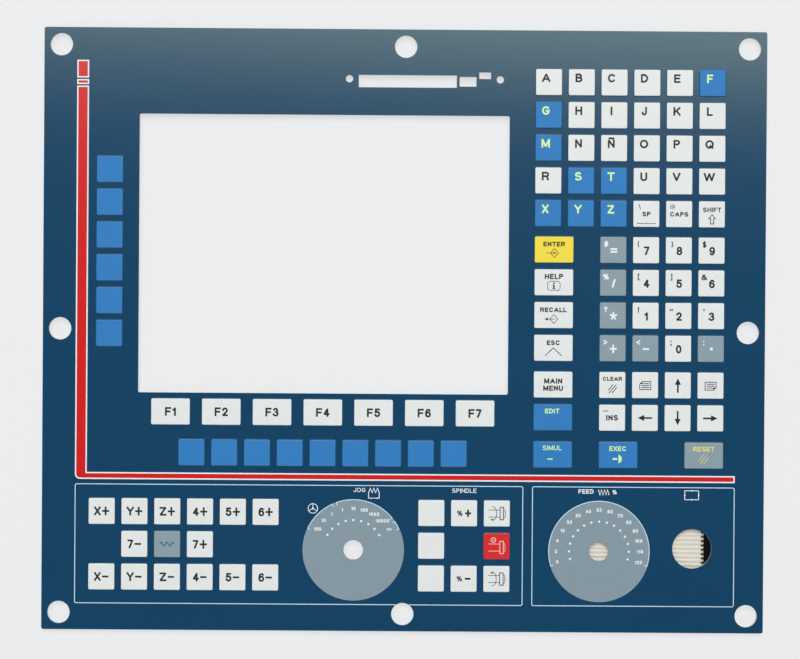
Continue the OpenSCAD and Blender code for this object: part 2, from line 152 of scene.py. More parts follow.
class KeypadStage(bpy.types.PropertyGroup):
    """Light and camera."""

    softbox_power: amount("Softbox", "Power of the large soft light", 145.0, unit="POWER")
    fill_power: amount("Fill", "Power of the fill light on the near side", 35.0, unit="POWER")
    room: amount("Room", "Brightness of the room round the table", 0.18)
    lens: amount("Lens", "Focal length of the camera", 60.0, unit="CAMERA")


GROUPS = {"keypad_sizes": KeypadSizes, "keypad_colours": KeypadColours, "keypad_stage": KeypadStage}


def in_millimetres(context):
    """The lengths of the size group in millimetres, with the height of the film's flat face."""
    group = context.scene.keypad_sizes
    sizes = SimpleNamespace(**{name: getattr(group, name) / MM for name in KeypadSizes.__annotations__})
    sizes.face = FILM_TOP.z - sizes.key_rise
    return sizes


def colours_of(context):
    """The colour group as plain tuples."""
    group = context.scene.keypad_colours
    return SimpleNamespace(**{name: tuple(getattr(group, name)) for name in KeypadColours.__annotations__})


# Layout of the face, as the frame has it

# Square openings through the sheet, the display's window first: middle, width, height and corner radius
SQUARE_OPENINGS = (
    (-47.0, 44.1, 215.0, 162.0, 1.0),
    (1.1, 144.9, 57.0, 7.2, 0.1),
    (36.1, 144.9, 9.8, 5.7, 0.1),
    (46.05, 148.5, 6.9, 3.9, 0.1),
)
SCREW_HOLES = ((-32.8, 146.2, 2.15), (54.9, 146.2, 2.15))

# A block of keys: place of its first key, the inks of each row with a dot where there is no key, the
# legends of each row, how they are placed, whether the keys are wide, and the size that is their pitch
Block = namedtuple("Block", "x y inks legends style wide pitch", defaults=("named", False, "key_pitch"))
BLOCKS = (
    Block(83.15, 145.0, ("wwwwwb", "bwwwww", "bwwwww", "wbbwww", "bbbwww"),
          ("A B C D E F", "G H I J K L", "M N Ñ O P Q", "R S T U V W", "X Y Z space caps shift"), "letter"),
    Block(121.25, 47.7, ("gwww", "gwww", "gwww", "ggwg"),
          ("=# 7( 8) 9$", "/% 4[ 5] 6&", "*? 1! 2\" 3'", "+> -< 0; point"), "number"),
    Block(121.25, -30.8, ("wwww", "wwww"), ("clear page_up up page_down", "insert left down right")),
    Block(86.8, 47.7, "ywww", ("enter", "help", "recall", "escape"), wide=True),
    Block(86.8, -30.8, "wb", ("menu", "edit"), wide=True),
    Block(86.8, -71.5, "b", ("simulate",), wide=True),
    Block(124.9, -71.5, "b", ("execute",), wide=True),
    Block(174.75, -71.5, "g", ("reset",), wide=True),
    Block(-135.5, -47.9, ("w" * 7,), ("F1 F2 F3 F4 F5 F6 F7",), "centred", True, "soft_pitch"),
    Block(-123.2, -71.5, ("b" * 9,), ("blank " * 9,)),
    Block(-171.5, 92.7, "b" * 6, ("blank",) * 6),
    Block(-175.1, -106.0, ("wwwwww", ".wgw..", "wwwwww"),
          ("X+ Y+ Z+ 4+ 5+ 6+", "- 7- rapid 7+ - -", "X- Y- Z- 4- 5- 6-"), "centred"),
    Block(16.5, -106.0, ("www", "w.r", "www"),
          ("blank more turn_right", "blank blank spindle_stop", "blank less turn_left")),
)
INK_NAMES = {"w": "white", "b": "blue", "g": "grey", "y": "yellow", "r": "red"}
LEGEND_INK = {"w": "dark", "b": "pale", "g": "bright", "y": "dark", "r": "rose"}
# The slot that each ink of the legends belongs to. Dark signs belong to the film, as if left open in
# the print.
LEGEND_SLOTS = {
    "dark": "overlay_film", "pale": "yellow_ink", "bright": "white_ink",
    "rose": "white_ink", "gold": "yellow_ink",
}

# Printed line frames: left, right, bottom and top; the stripe's places, and the radius and steps of its turn
JOG_FRAME = (-190.9, 69.9, -159.8, -90.1)
FEED_FRAME = (75.1, 193.0, -159.8, -90.1)
STRIPE_LEFT, STRIPE_RIGHT, STRIPE_END = -190.9, -184.0, 193.0
STRIPE_HEAD, STRIPE_BAR, STRIPE_BAND_TOP = (145.7, 156.0), (141.9, 144.8), 141.0
STRIPE_RUN, STRIPE_TURN, STRIPE_TURN_STEPS = (-87.5, -83.4), 3.0, 8

# Dials: scale dots, the first and last dot of each arc, what the arcs run past them, and labels
Dial = namedtuple("Dial", "mount dots arcs past labels")
DIAL_STEP = 15.0
# Sides of the outlines of dials and dots, and the degrees and least number of a dial arc's steps
DIAL_SIDES, DOT_SIDES, ARC_STEP, ARC_LEAST = 128, 24, 3, 4
DIALS = (
    Dial("jog_switch_hole", 9, ((0, 2), (3, 7), (8, 8)), 5.0, "100 10 1 1 10 100 1000 10000 ripple"),
    Dial("feed_switch_hole", 15, ((0, 14),), 2.0, "0 2 4 10 20 30 40 50 60 70 80 90 100 110 120"),
)

# Flank of an embossed key: distance out from the edge of its top, and share of its rise
FLANK = (
    (0.55, 0.0), (0.40, 0.0), (0.30, 0.07), (0.20, 0.26), (0.10, 0.50),
    (0.0, 0.72), (-0.12, 0.89), (-0.28, 0.975), (-0.50, 1.0), (-0.70, 1.0),
)
# The flank's first place with ink, how deep the ink reaches into the film, and how far below its top the
# ink turns glossy, as a share of the rise
INK_FOOT, INK_SINK, SHOULDER = 5, 0.015, 0.1
# Underside of a key: the hollow's foot and its ceiling
HOLLOW_FOOT, HOLLOW_CEILING = 0.16, -0.14

# Weights of the lettering: width of a stroke as a share of the height of a capital
LIGHT, MEDIUM, BOLD, HEAVY = 0.15, 0.175, 0.21, 0.235
# Each stroke of a sign lies this much higher than the one it crosses, as printed ink does
STROKE_STEP, STROKE_LAYERS = 0.004, 6

# A legend's sign: text or the name of a drawn sign, its place on the key, a text's height or a drawn
# sign's scale, weight and ink
Sign = namedtuple("Sign", "what x y height weight ink", defaults=(0.0, 0.0, 1.0, HEAVY, None))
# Place and height of a letter, a digit, the small sign beside it, and a legend in the middle of its key
LETTER, DIGIT, SMALL = (-1.7, 2.5, 5.0), (0.3, -0.3, 4.95), (-4.2, 3.5, 3.3)
CENTRED = (0.0, 0.0, 5.05)
# Signs beside a digit that have a thinner stroke, and the usual height of a word on a key
THIN_SIGNS, WORD = "()[]", 2.75
NAMED_LEGENDS = {
    "blank": (),
    "space": (Sign("SP", 0.0, -0.1, WORD), Sign("\\", -3.9, 4.1, 2.9, LIGHT), Sign("bracket", 0.0, -5.6)),
    "caps": (Sign("CAPS", 0.0, -0.1, 2.7), Sign("@", -3.9, 4.2, 2.6, 0.11)),
    "shift": (Sign("SHIFT", 0.1, 2.6, 2.7, BOLD), Sign("hollow_arrow", 0.1, -2.9)),
    "enter": (Sign("ENTER", 0.0, 3.2, WORD), Sign("into_diamond", 0.2, -2.0)),
    "help": (Sign("HELP", 0.0, 3.4, 3.1), Sign("boxed_i", 0.0, -2.0)),
    "recall": (Sign("RECALL", -0.2, 3.1, WORD), Sign("out_of_diamond", 0.1, -2.3)),
    "escape": (Sign("ESC", -0.1, 3.0, WORD), Sign("chevron", 0.0, -2.3)),
    "menu": (Sign("MAIN", 0.0, 2.1, 3.05), Sign("MENU", 0.0, -2.1, 3.05)),
    "edit": (Sign("EDIT", -0.4, 3.7, WORD, BOLD),),
    "simulate": (Sign("SIMUL", -0.4, 3.9, WORD, MEDIUM), Sign("short_dash", -1.3, -2.4)),
    "execute": (Sign("EXEC", -0.2, 3.7, WORD, BOLD), Sign("long_dash", -1.7, -2.3, ink="bright"),
                Sign("half_disc", 1.5, -2.3)),
    "reset": (Sign("RESET", 0.0, 3.7, WORD, MEDIUM, "gold"), Sign("thin_slashes", 0.0, -2.1, ink="gold")),
    "clear": (Sign("CLEAR", 0.0, 3.6, 2.35), Sign("slashes", 0.1, -2.2)),
    "insert": (Sign("INS", height=3.2), Sign("small_dash", -3.9, 3.9)),
    "point": (Sign("square_dot", 0.3), Sign(":", *SMALL, BOLD)),
    "page_up": (Sign("page_back", 0.1, -0.2),),
    "page_down": (Sign("page_on", 0.0, -0.3),),
    **{way: (Sign(f"arrow_{way}"),) for way in ("up", "down", "left", "right")},
    "rapid": (Sign("wave", ink="dark"),),
    "more": (Sign("%", -2.5, 0.0, 3.2, MEDIUM), Sign("+", 2.3, 0.0, 4.2, 0.27)),
    "less": (Sign("%", -2.5, 0.0, 3.2, MEDIUM), Sign("-", 2.3, 0.0, 4.5, 0.25)),
    "turn_right": (Sign("spindle"), Sign("turn_down")),
    "turn_left": (Sign("spindle"), Sign("turn_up")),
    "spindle_stop": (Sign("spindle", 0.0, -0.7), Sign("stop_ring", -1.9, 3.6)),
}
# Lettering on the film itself
FILM_SIGNS = (
    Sign("JOG", -25.3, -92.9, 2.45, LIGHT), Sign("jog_steps", -17.0, -94.8),
    Sign("handwheel", -52.4, -103.8), Sign("SPINDLE", 35.6, -92.9, 2.5, LIGHT),
    Sign("FEED", 106.5, -92.9, 2.55, BOLD), Sign("zigzag", 116.8, -93.4),
    Sign("%", 123.1, -93.2, 2.5, MEDIUM), Sign("stop_field", 168.0, -94.7),
)
# Dial labels: height, how far a label moves out sideways for each digit it has less than the usual, and
# the most it is moved in, in digits
DIAL_LABEL, LABEL_NUDGE, USUAL_DIGITS, MOST_IN = 2.1, 0.6, 2.6, -0.2

# Points nearer than this are one point, in paths and where a sheet is filled
CLOSE, MERGED = 1e-6, 1e-7


# Outlines, all counted round against the clock


def arc(x, y, radius, start, end, steps):
    """Points along an arc, with angles in degrees."""
    angles = [math.radians(start + (end - start) * i / steps) for i in range(steps + 1)]
    return [(x + radius * math.cos(a), y + radius * math.sin(a)) for a in angles]


def polar(x, y, radius, angle):
    """The point of a circle at an angle in degrees."""
    return arc(x, y, radius, angle, angle, 1)[0]


def circle(x, y, radius, steps=64):
    """A round outline."""
    return arc(x, y, radius, 0.0, 360.0, steps)[:-1]


def bend(x, y, across, up, start, end, steps=12):
    """Points along part of an oval, with angles in degrees."""
    return [(x + across * px, y + up * py) for px, py in arc(0.0, 0.0, 1.0, start, end, steps)]


def oval(x, y, across, up):
    """A closed oval stroke."""
    return bend(x, y, across, up, 90.0, 450.0, 20)


def round_rect(x, y, width, height, radius, steps=5):
    """A rectangle with rounded corners."""
    across, up = width / 2 - radius, height / 2 - radius
    places = ((across, up, 0.0), (-across, up, 90.0), (-across, -up, 180.0), (across, -up, 270.0))
    corners = [arc(x + dx, y + dy, radius, start, start + 90.0, steps) for dx, dy, start in places]
    return [point for corner in corners for point in corner]


def box_outline(left, right, bottom, top, inset=0.0, radius=0.1, steps=5):
    """A rounded rectangle given by its sides."""
    width, height = right - left - 2 * inset, top - bottom - 2 * inset
    return round_rect((left + right) / 2, (bottom + top) / 2, width, height, radius, steps)


def key_outline(key, sizes, out=0.0):
    """Outline of a key's top, grown by a distance."""
    width, height = key.width + 2 * out, sizes.key_width + 2 * out
    return round_rect(key.x, key.y, width, height, sizes.key_corner + out)


def lifted(profile, rise, lift):
    """A flank's profile as distances out and heights, moved off its surface by a thickness."""
    places = [(out, share * rise) for out, share in profile]
    moved = []
    for i, (out, height) in enumerate(places):
        before, after = places[max(i - 1, 0)], places[min(i + 1, len(places) - 1)]
        run, climb = before[0] - after[0], after[1] - before[1]
        slope = math.hypot(run, climb)
        moved.append((out + lift * climb / slope, height + lift * run / slope))
    return moved


def stripe_fields(inset):
    """Outlines of the stripe: head block, short bar and the band that turns along the bottom."""
    left, right, end = STRIPE_LEFT + inset, STRIPE_RIGHT - inset, STRIPE_END - inset
    fields = [
        [(left, low + inset), (right, low + inset), (right, high - inset), (left, high - inset)]
        for low, high in (STRIPE_HEAD, STRIPE_BAR)
    ]
    low, high, top = STRIPE_RUN[0] + inset, STRIPE_RUN[1] - inset, STRIPE_BAND_TOP - inset
    turn = STRIPE_TURN - inset
    band = arc(left + turn, low + turn, turn, 180.0, 270.0, STRIPE_TURN_STEPS)
    band += [(end, low), (end, high), (right, high), (right, top), (left, top)]
    return fields + [band]


# Meshes

# Faces that meet at more than this keep a sharp edge, and the mitre of a line's bend takes no smaller
# cosine of half its turn than this
CREASE, MITRE_LIMIT = math.radians(40.0), 0.5


def in_scene(name, data):
    """A new object with its data, in the scene."""
    made = bpy.data.objects.new(name, data)
    bpy.context.scene.collection.objects.link(made)
    return made


class Pattern:
    """Points and faces of one piece, gathered in millimetres."""

    def __init__(self):
        self.points, self.faces = [], []

    def loop(self, outline, z):
        """Adds an outline at a height and returns its points' numbers."""
        first = len(self.points)
        self.points += [(x, y, z) for x, y in outline]
        return list(range(first, len(self.points)))

    def skirt(self, lower, upper):
        """Walls between two loops of as many points."""
        for i, j in zip(range(-1, len(lower) - 1), range(len(lower))):
            self.faces.append((lower[i], lower[j], upper[j], upper[i]))

    def walls(self, loops):
        """Walls from each loop to the next."""
        for lower, upper in zip(loops, loops[1:]):
            self.skirt(lower, upper)

    def lid(self, loop, up=True):
        """Closes a loop with one face."""
        self.faces.append(tuple(loop if up else reversed(loop)))

    def sheet(self, outer, holes, up=True):
        """Fills the space between an outer loop and the rounded holes in it."""
        loops = [outer, *holes]
        numbers = [n for loop in loops for n in loop]
        place_of = {n: i for i, n in enumerate(numbers)}
        hole_of = {n: h for h, loop in enumerate(holes) for n in loop}
        edges = [(place_of[loop[i - 1]], place_of[n]) for loop in loops for i, n in enumerate(loop)]
        flat = [Vector(self.points[n][:2]) for n in numbers]
        _, _, triangles, origins, _, _ = delaunay_2d_cdt(flat, edges, [], 0, MERGED)
        for triangle in triangles:
            corners = [numbers[origins[t][0]] for t in triangle]
            inside = {hole_of.get(n) for n in corners}
            if len(inside) > 1 or None in inside:
                self.faces.append(tuple(corners if up else reversed(corners)))

    def plate(self, outline, low, high):
        """A flat plate with the given outline."""
        foot, top = self.loop(outline, low), self.loop(outline, high)
        self.skirt(foot, top)
        self.lid(top)
        self.lid(foot, up=False)

    def ring(self, outer, inner, low, high):
        """A flat ring between two outlines of as many points."""
        loops = [self.loop(outer, low), self.loop(outer, high), self.loop(inner, high), self.loop(inner, low)]
        self.walls(loops + loops[:1])

    def ribbon(self, path, width, low, high):
        """A flat line of even width along an open path, with mitred bends."""
        sides = []
        for i, (x, y) in enumerate(path):
            before, after = path[max(i - 1, 0)], path[min(i + 1, len(path) - 1)]
            into = Vector((x - before[0], y - before[1])) if i else None
            out = Vector((after[0] - x, after[1] - y)) if i < len(path) - 1 else None
            ahead = [d.normalized() for d in (into, out) if d is not None]
            along = sum(ahead, Vector((0.0, 0.0))).normalized()
            reach = width / 2 / max(along.dot(ahead[0]), MITRE_LIMIT)
            sides.append((along.y * reach, -along.x * reach))
        right = [(x + dx, y + dy) for (x, y), (dx, dy) in zip(path, sides)]
        left = [(x - dx, y - dy) for (x, y), (dx, dy) in zip(path, sides)]
        right_low, right_high = self.loop(right, low), self.loop(right, high)
        left_low, left_high = self.loop(left, low), self.loop(left, high)
        for i, j in zip(range(len(path) - 1), range(1, len(path))):
            self.faces += [
                (right_high[i], right_high[j], left_high[j], left_high[i]),
                (left_low[i], left_low[j], right_low[j], right_low[i]),
                (right_low[i], right_low[j], right_high[j], right_high[i]),
                (left_low[j], left_low[i], left_high[i], left_high[j]),
            ]
        self.faces.append((left_low[0], right_low[0], right_high[0], left_high[0]))
        self.faces.append((right_low[-1], left_low[-1], left_high[-1], right_high[-1]))

    def made(self, name, finish):
        """The object with this mesh, turned into metres."""
        mesh = bpy.data.meshes.new(name)
        mesh.from_pydata([[c * MM for c in point] for point in self.points], [], self.faces)
        mesh.shade_smooth()
        mesh.set_sharp_from_angle(angle=CREASE)
        mesh.materials.append(finish)
        return in_scene(name, mesh)

    def piece(self, name, finish, slot, *nodes):
        """Makes the mesh, which rides on the keypad and stands for the given nodes of the frame."""
        made = self.made(name, finish)
        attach(made, BODY)
        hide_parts(*nodes)


# Drawn signs, in millimetres about their middle: each stroke is a line, a loop or a filled form

# Widths of thin strokes
HAIR, FINE = 0.34, 0.46
# Half the width of an arrow's head as a share of its length, and the bold arrows' width, half length and head
HEAD_SHARE, ARROW_WIDTH, ARROW_HALF, ARROW_HEAD = 0.46, 1.0, 4.2, 3.8
# Half the width and height of a leaning stroke, and the column, height and share of length of each of three
SLASH, SLASH_ROWS = (2.1, 2.5), ((-1, 0.8, 0.7), (0, 0.0, 1.0), (1, -0.8, 0.7))


def line(width, *path):
    """A stroke along an open path."""
    return ("line", width, path)


def closed(width, outline):
    """A stroke round an outline."""
    return ("loop", width, tuple(outline))


def filled(*outline):
    """A solid form."""
    return ("fill", 0.0, outline)


def arrow(width, start, tip, head):
    """A straight stroke that ends in a solid head."""
    along = (Vector(tip) - Vector(start)).normalized()
    side = Vector((-along.y, along.x)) * head * HEAD_SHARE
    neck = Vector(tip) - along * head
    return line(width, start, tuple(neck)), filled(tuple(neck - side), tip, tuple(neck + side))


def diamond(half_width, half_height):
    """Outline of a diamond."""
    return ((half_width, 0.0), (0.0, half_height), (-half_width, 0.0), (0.0, -half_height))


def wave_path(width, height, waves, steps=24):
    """A sine wave from left to right."""
    shares = [i / steps for i in range(steps + 1)]
    return [((s - 0.5) * width, height / 2 * math.sin(s * waves * math.tau)) for s in shares]


def zigzag_path(width, height, points):
    """A zigzag from left to right that starts at its top."""
    step = width / (points - 1)
    return [(-width / 2 + i * step, height / 2 * (-1) ** i) for i in range(points)]


def straight_arrow(x, y):
    """A bold arrow in one of the four directions."""
    tip = (ARROW_HALF * x, ARROW_HALF * y)
    return arrow(ARROW_WIDTH, (-tip[0], -tip[1]), tip, ARROW_HEAD)


def slashes(width, apart):
    """Three leaning strokes side by side, the middle one the longest."""
    across, up = SLASH
    return tuple(
        line(width, (i * apart - across * size, y - up * size), (i * apart + across * size, y + up * size))
        for i, y, size in SLASH_ROWS
    )


def page(way):
    """A page with a folded corner and three lines, turned half round where way is -1."""
    paths = [[(way * x, way * y) for x, y in path] for path in (PAGE, PAGE_FOLD, *PAGE_LINES)]
    return (closed(FINE, paths[0]), filled(*paths[1]), *(line(FINE, *row) for row in paths[2:]))


DIAMOND = diamond(2.3, 2.6)
PAGE = ((-3.2, -2.3), (3.2, -2.3), (3.2, 2.3), (-1.7, 2.3), (-3.2, 0.8))
PAGE_FOLD = ((-3.2, 0.8), (-1.7, 0.8), (-1.7, 2.3))
PAGE_LINES = (((-1.6, 1.1), (2.3, 1.1)), ((-2.3, 0.0), (2.3, 0.0)), ((-2.3, -1.1), (2.3, -1.1)))
TURN = bend(-2.2, 0.0, 2.1, 3.9, 105.0, -105.0, 20)
WAYS = {"up": (0, 1), "down": (0, -1), "left": (-1, 0), "right": (1, 0)}
SIGNS = {
    "bracket": (line(HAIR, (-5.2, 0.6), (-5.2, 0.0), (5.2, 0.0), (5.2, 0.6)),),
    "hollow_arrow": (closed(FINE, ((0.0, 2.7), (-1.9, 0.4), (-0.9, 0.4), (-0.9, -2.7), (0.9, -2.7),
                                   (0.9, 0.4), (1.9, 0.4))),),
    "into_diamond": (closed(HAIR, DIAMOND), *arrow(HAIR, (-4.7, 0.0), (1.2, 0.0), 1.5)),
    "out_of_diamond": (closed(HAIR, DIAMOND), *arrow(HAIR, (0.6, 0.0), (-5.4, 0.0), 2.0)),
    "boxed_i": (closed(HAIR, round_rect(0.0, 0.0, 7.3, 5.2, 1.5)),
                filled((-0.85, -1.9), (0.85, -1.9), (0.85, -1.45), (-0.85, -1.45)),
                filled((-0.45, -1.45), (0.45, -1.45), (0.45, 0.55), (-0.45, 0.55)),
                filled((-0.8, 0.15), (-0.45, 0.15), (-0.45, 0.55), (-0.8, 0.55)),
                filled(*circle(0.0, 1.45, 0.55, 16))),
    "chevron": (line(0.45, (-4.8, -2.3), (0.0, 2.3), (4.8, -2.3)),),
    "short_dash": (line(0.7, (-1.7, -0.2), (0.6, -0.2)), filled((0.6, -0.55), (1.7, -0.2), (0.6, 0.4))),
    "long_dash": (line(0.95, (-1.5, 0.0), (1.2, 0.0)),),
    "half_disc": (filled(*bend(-1.3, 0.0, 2.0, 2.4, -90.0, 90.0, 16)),),
    "slashes": slashes(FINE, 1.1),
    "thin_slashes": slashes(0.28, 1.4),
    "square_dot": (filled((-0.8, -0.8), (0.8, -0.8), (0.8, 0.8), (-0.8, 0.8)),),
    "small_dash": (line(FINE, (-1.6, 0.0), (1.6, 0.0)),),
    "page_back": page(1),
    "page_on": page(-1),
    **{f"arrow_{way}": straight_arrow(*ahead) for way, ahead in WAYS.items()},
    "wave": (line(0.42, *wave_path(8.4, 2.3, 2.5)),),
    "ripple": (line(0.4, *wave_path(2.8, 1.1, 2.5)),),
    "spindle": (line(HAIR, (-4.8, 2.0), (1.9, 2.0)), line(HAIR, (-4.8, -2.1), (1.9, -2.1)),
                closed(FINE, ((1.9, -3.6), (3.9, -3.6), (3.9, 3.6), (1.9, 3.6))),
                line(HAIR, (3.9, 2.5), (4.6, 2.2), (4.9, 1.5), (4.9, -1.6), (4.6, -2.3), (3.9, -2.6))),
    "turn_down": (line(HAIR, *TURN), filled((-3.7, -3.4), (-2.1, -4.4), (-2.1, -3.0))),
    "turn_up": (line(HAIR, *TURN), filled((-3.7, 3.4), (-2.1, 3.0), (-2.1, 4.4))),
    "stop_ring": (closed(0.5, circle(0.0, 0.0, 1.35, 24)), filled(*circle(0.0, 0.0, 0.45, 16))),
    "handwheel": (closed(0.42, circle(0.0, 0.0, 2.75, 40)), filled(*circle(0.0, 0.0, 0.6, 20)),
                  *(line(0.36, (0.0, 0.0), polar(0.0, 0.0, 2.75, a)) for a in (90.0, 210.0, 330.0))),
    "jog_steps": (line(FINE, (-3.1, -3.1), (-3.1, 0.3), (-2.1, 3.0), (-1.0, 0.4), (0.0, 3.0), (1.0, 0.4),
                       (2.1, 3.0), (3.1, 0.3), (3.1, -3.1)),
                  *arrow(HAIR, (0.0, -2.8), (-2.8, -2.8), 1.1), *arrow(HAIR, (0.0, -2.8), (2.8, -2.8), 1.1)),
    "zigzag": (line(0.48, *zigzag_path(6.2, 3.1, 8)),),
    "stop_field": (closed(0.4, round_rect(0.0, 0.0, 8.1, 5.2, 0.1, 1)),
                   *(filled(*circle(x, y, 0.45, 12))
                     for x, y in ((0.0, 2.6), (0.0, -2.6), (4.05, 0.0), (-4.05, 0.0)))),
}


# Letters and signs: width as a share of the height, and the middle lines of the strokes in a unit box
BOWL = ((0, 0), (0, 1), (0.58, 1), *bend(0.58, 0.74, 0.42, 0.26, 90, -90), (0, 0.48))
S_CURVE = (*bend(0.5, 0.75, 0.46, 0.25, 40, 245), *bend(0.5, 0.26, 0.5, 0.26, 65, -142))
N_PATH = ((0, 0), (0, 1), (1, 0), (1, 1))
GLYPHS = {
    "A": (0.98, ((0, 0), (0.5, 1), (1, 0)), ((0.19, 0.3), (0.81, 0.3))),
    "B": (0.8, ((0, 0.52), (0, 1), (0.56, 1), *bend(0.56, 0.76, 0.36, 0.24, 90, -90), (0, 0.52)),
          ((0, 0.52), (0.6, 0.52), *bend(0.6, 0.26, 0.4, 0.26, 90, -90), (0, 0), (0, 0.52))),
    "C": (0.9, bend(0.5, 0.5, 0.5, 0.5, 42, 318, 20)),
    "D": (0.84, ((0, 0.5), (0, 1), (0.4, 1), *bend(0.4, 0.5, 0.6, 0.5, 90, -90, 16), (0, 0), (0, 0.5))),
    "E": (0.74, ((1, 1), (0, 1), (0, 0), (1, 0)), ((0, 0.52), (0.88, 0.52))),
    "F": (0.7, ((1, 1), (0, 1), (0, 0)), ((0, 0.5), (0.85, 0.5))),
    "G": (0.92, (*bend(0.5, 0.5, 0.5, 0.5, 45, 335, 20), (0.97, 0.46), (0.58, 0.46))),
    "H": (0.8, ((0, 0), (0, 1)), ((1, 0), (1, 1)), ((0, 0.52), (1, 0.52))),
    "I": (0.0, ((0, 0), (0, 1))),
    "J": (0.62, ((1, 1), (1, 0.3), *bend(0.5, 0.3, 0.5, 0.3, 0, -175))),
    "K": (0.84, ((0, 0), (0, 1)), ((0, 0.32), (0.95, 1)), ((0.38, 0.58), (1, 0))),
    "L": (0.68, ((0, 1), (0, 0), (1, 0))),
    "M": (0.98, ((0, 0), (0, 1)), ((1, 0), (1, 1)), ((0.02, 1), (0.5, 0.06), (0.98, 1))),
    "N": (0.8, N_PATH),
    "Ñ": (0.8, N_PATH, ((0.1, 1.26), (0.36, 1.34), (0.64, 1.24), (0.9, 1.32))),
    "O": (0.98, oval(0.5, 0.5, 0.5, 0.5)),
    "P": (0.76, BOWL),
    "Q": (0.98, oval(0.5, 0.5, 0.5, 0.5), ((0.6, 0.28), (0.96, 0.0))),
    "R": (0.84, BOWL, ((0.5, 0.48), (0.78, 0.42), (0.88, 0.2), (0.95, 0))),
    "S": (0.82, S_CURVE),
    "T": (0.82, ((0, 1), (1, 1)), ((0.5, 1), (0.5, 0))),
    "U": (0.8, ((0, 1), (0, 0.33), *bend(0.5, 0.33, 0.5, 0.33, 180, 360), (1, 1))),
    "V": (0.92, ((0, 1), (0.5, 0), (1, 1))),
    "W": (1.3, ((0, 1), (0.24, 0), (0.5, 1), (0.76, 0), (1, 1))),
    "X": (0.76, ((0, 0), (1, 1)), ((0, 1), (1, 0))),
    "Y": (0.84, ((0, 1), (0.5, 0.44), (1, 1)), ((0.5, 0.44), (0.5, 0))),
    "Z": (0.8, ((0, 1), (1, 1), (0, 0), (1, 0))),
    "0": (0.66, oval(0.5, 0.5, 0.5, 0.5)),
    "1": (0.4, ((0, 0.74), (0.6, 0.8), (1, 1), (1, 0))),
    "2": (0.67, (*bend(0.5, 0.7, 0.48, 0.3, 165, -35), (0, 0), (1, 0))),
    "3": (0.67, (*bend(0.46, 0.75, 0.42, 0.25, 155, -80), *bend(0.46, 0.27, 0.52, 0.27, 80, -158))),
    "4": (0.7, ((0.72, 0), (0.72, 1), (0, 0.26), (1, 0.26))),
    "5": (0.67, ((0.92, 1), (0.17, 1), (0.06, 0.5), *bend(0.48, 0.33, 0.52, 0.33, 130, -158))),
    "6": (0.67, oval(0.5, 0.31, 0.5, 0.31), bend(0.55, 0.5, 0.55, 0.5, 50, 200)),
    "7": (0.66, ((0, 1), (1, 1), (0.3, 0))),
    "8": (0.68, oval(0.5, 0.76, 0.43, 0.24), oval(0.5, 0.26, 0.5, 0.26)),
    "9": (0.67, oval(0.5, 0.69, 0.5, 0.31), bend(0.45, 0.5, 0.55, 0.5, 230, 380)),
    "+": (0.82, ((0.5, 0), (0.5, 1)), ((0, 0.5), (1, 0.5))),
    "-": (0.74, ((0, 0.5), (1, 0.5))),
    "=": (0.8, ((0, 0.7), (1, 0.7)), ((0, 0.3), (1, 0.3))),
    "*": (0.86, *(((0.5, 0.5), bend(0.5, 0.5, 0.5, 0.48, a, a, 1)[0]) for a in (90, 18, 162, 234, 306))),
    "/": (0.45, ((0, 0), (1, 1))),
    "\\": (0.4, ((0, 1), (1, 0))),
    "(": (0.5, bend(1.3, 0.5, 1.3, 0.75, 135, 225)),
    ")": (0.5, bend(-0.3, 0.5, 1.3, 0.75, 45, -45)),
    "[": (0.32, ((1, 1.1), (0, 1.1), (0, -0.1), (1, -0.1))),
    "]": (0.32, ((0, 1.1), (1, 1.1), (1, -0.1), (0, -0.1))),
    "<": (0.7, ((1, 0.85), (0, 0.5), (1, 0.15))),
    ">": (0.7, ((0, 0.85), (1, 0.5), (0, 0.15))),
    "!": (0.0, ((0, 0.4), (0, 1)), ((0, 0), (0, 0.04))),
    "?": (0.6, (*bend(0.5, 0.76, 0.48, 0.24, 175, -55), (0.5, 0.44), (0.5, 0.38)), ((0.5, 0), (0.5, 0.04))),
    "#": (0.7, ((0.2, 0), (0.38, 1)), ((0.62, 0), (0.8, 1)), ((0, 0.32), (0.94, 0.32)),
          ((0.06, 0.68), (1, 0.68))),
    "$": (0.66, S_CURVE, ((0.5, -0.14), (0.5, 1.14))),
    "%": (1.0, oval(0.18, 0.76, 0.18, 0.24), oval(0.82, 0.24, 0.18, 0.24), ((0.24, 0), (0.76, 1))),
    "&": (1.05, ((1, 0), (0.24, 0.7), *bend(0.42, 0.82, 0.2, 0.18, 210, -30), (0.16, 0.42),
                 *bend(0.36, 0.24, 0.34, 0.24, 140, 300), (0.92, 0.46))),
    "@": (1.1, oval(0.5, 0.5, 0.2, 0.22),
          ((0.72, 0.7), (0.72, 0.38), *bend(0.86, 0.4, 0.14, 0.14, 180, 350),
           *bend(0.5, 0.5, 0.5, 0.55, 0, 300, 20))),
    ":": (0.0, ((0, 0.06), (0, 0.12)), ((0, 0.78), (0, 0.84))),
    ";": (0.0, ((0, -0.14), (0, 0.12)), ((0, 0.78), (0, 0.84))),
    "'": (0.0, ((0, 0.38), (0, 0.6))),
    '"': (0.55, ((0, 0.38), (0, 0.6)), ((1, 0.38), (1, 0.6))),
}
LETTER_GAP = 0.15
# A stroke is parted where it turns sharply. Its ends are carried on by a share of its width, which is less
# where the corner is acute.
SHARP_TURN, ACUTE_TURN = math.radians(50.0), math.radians(100.0)
END_SHARE, ACUTE_SHARE = 0.5, 0.2


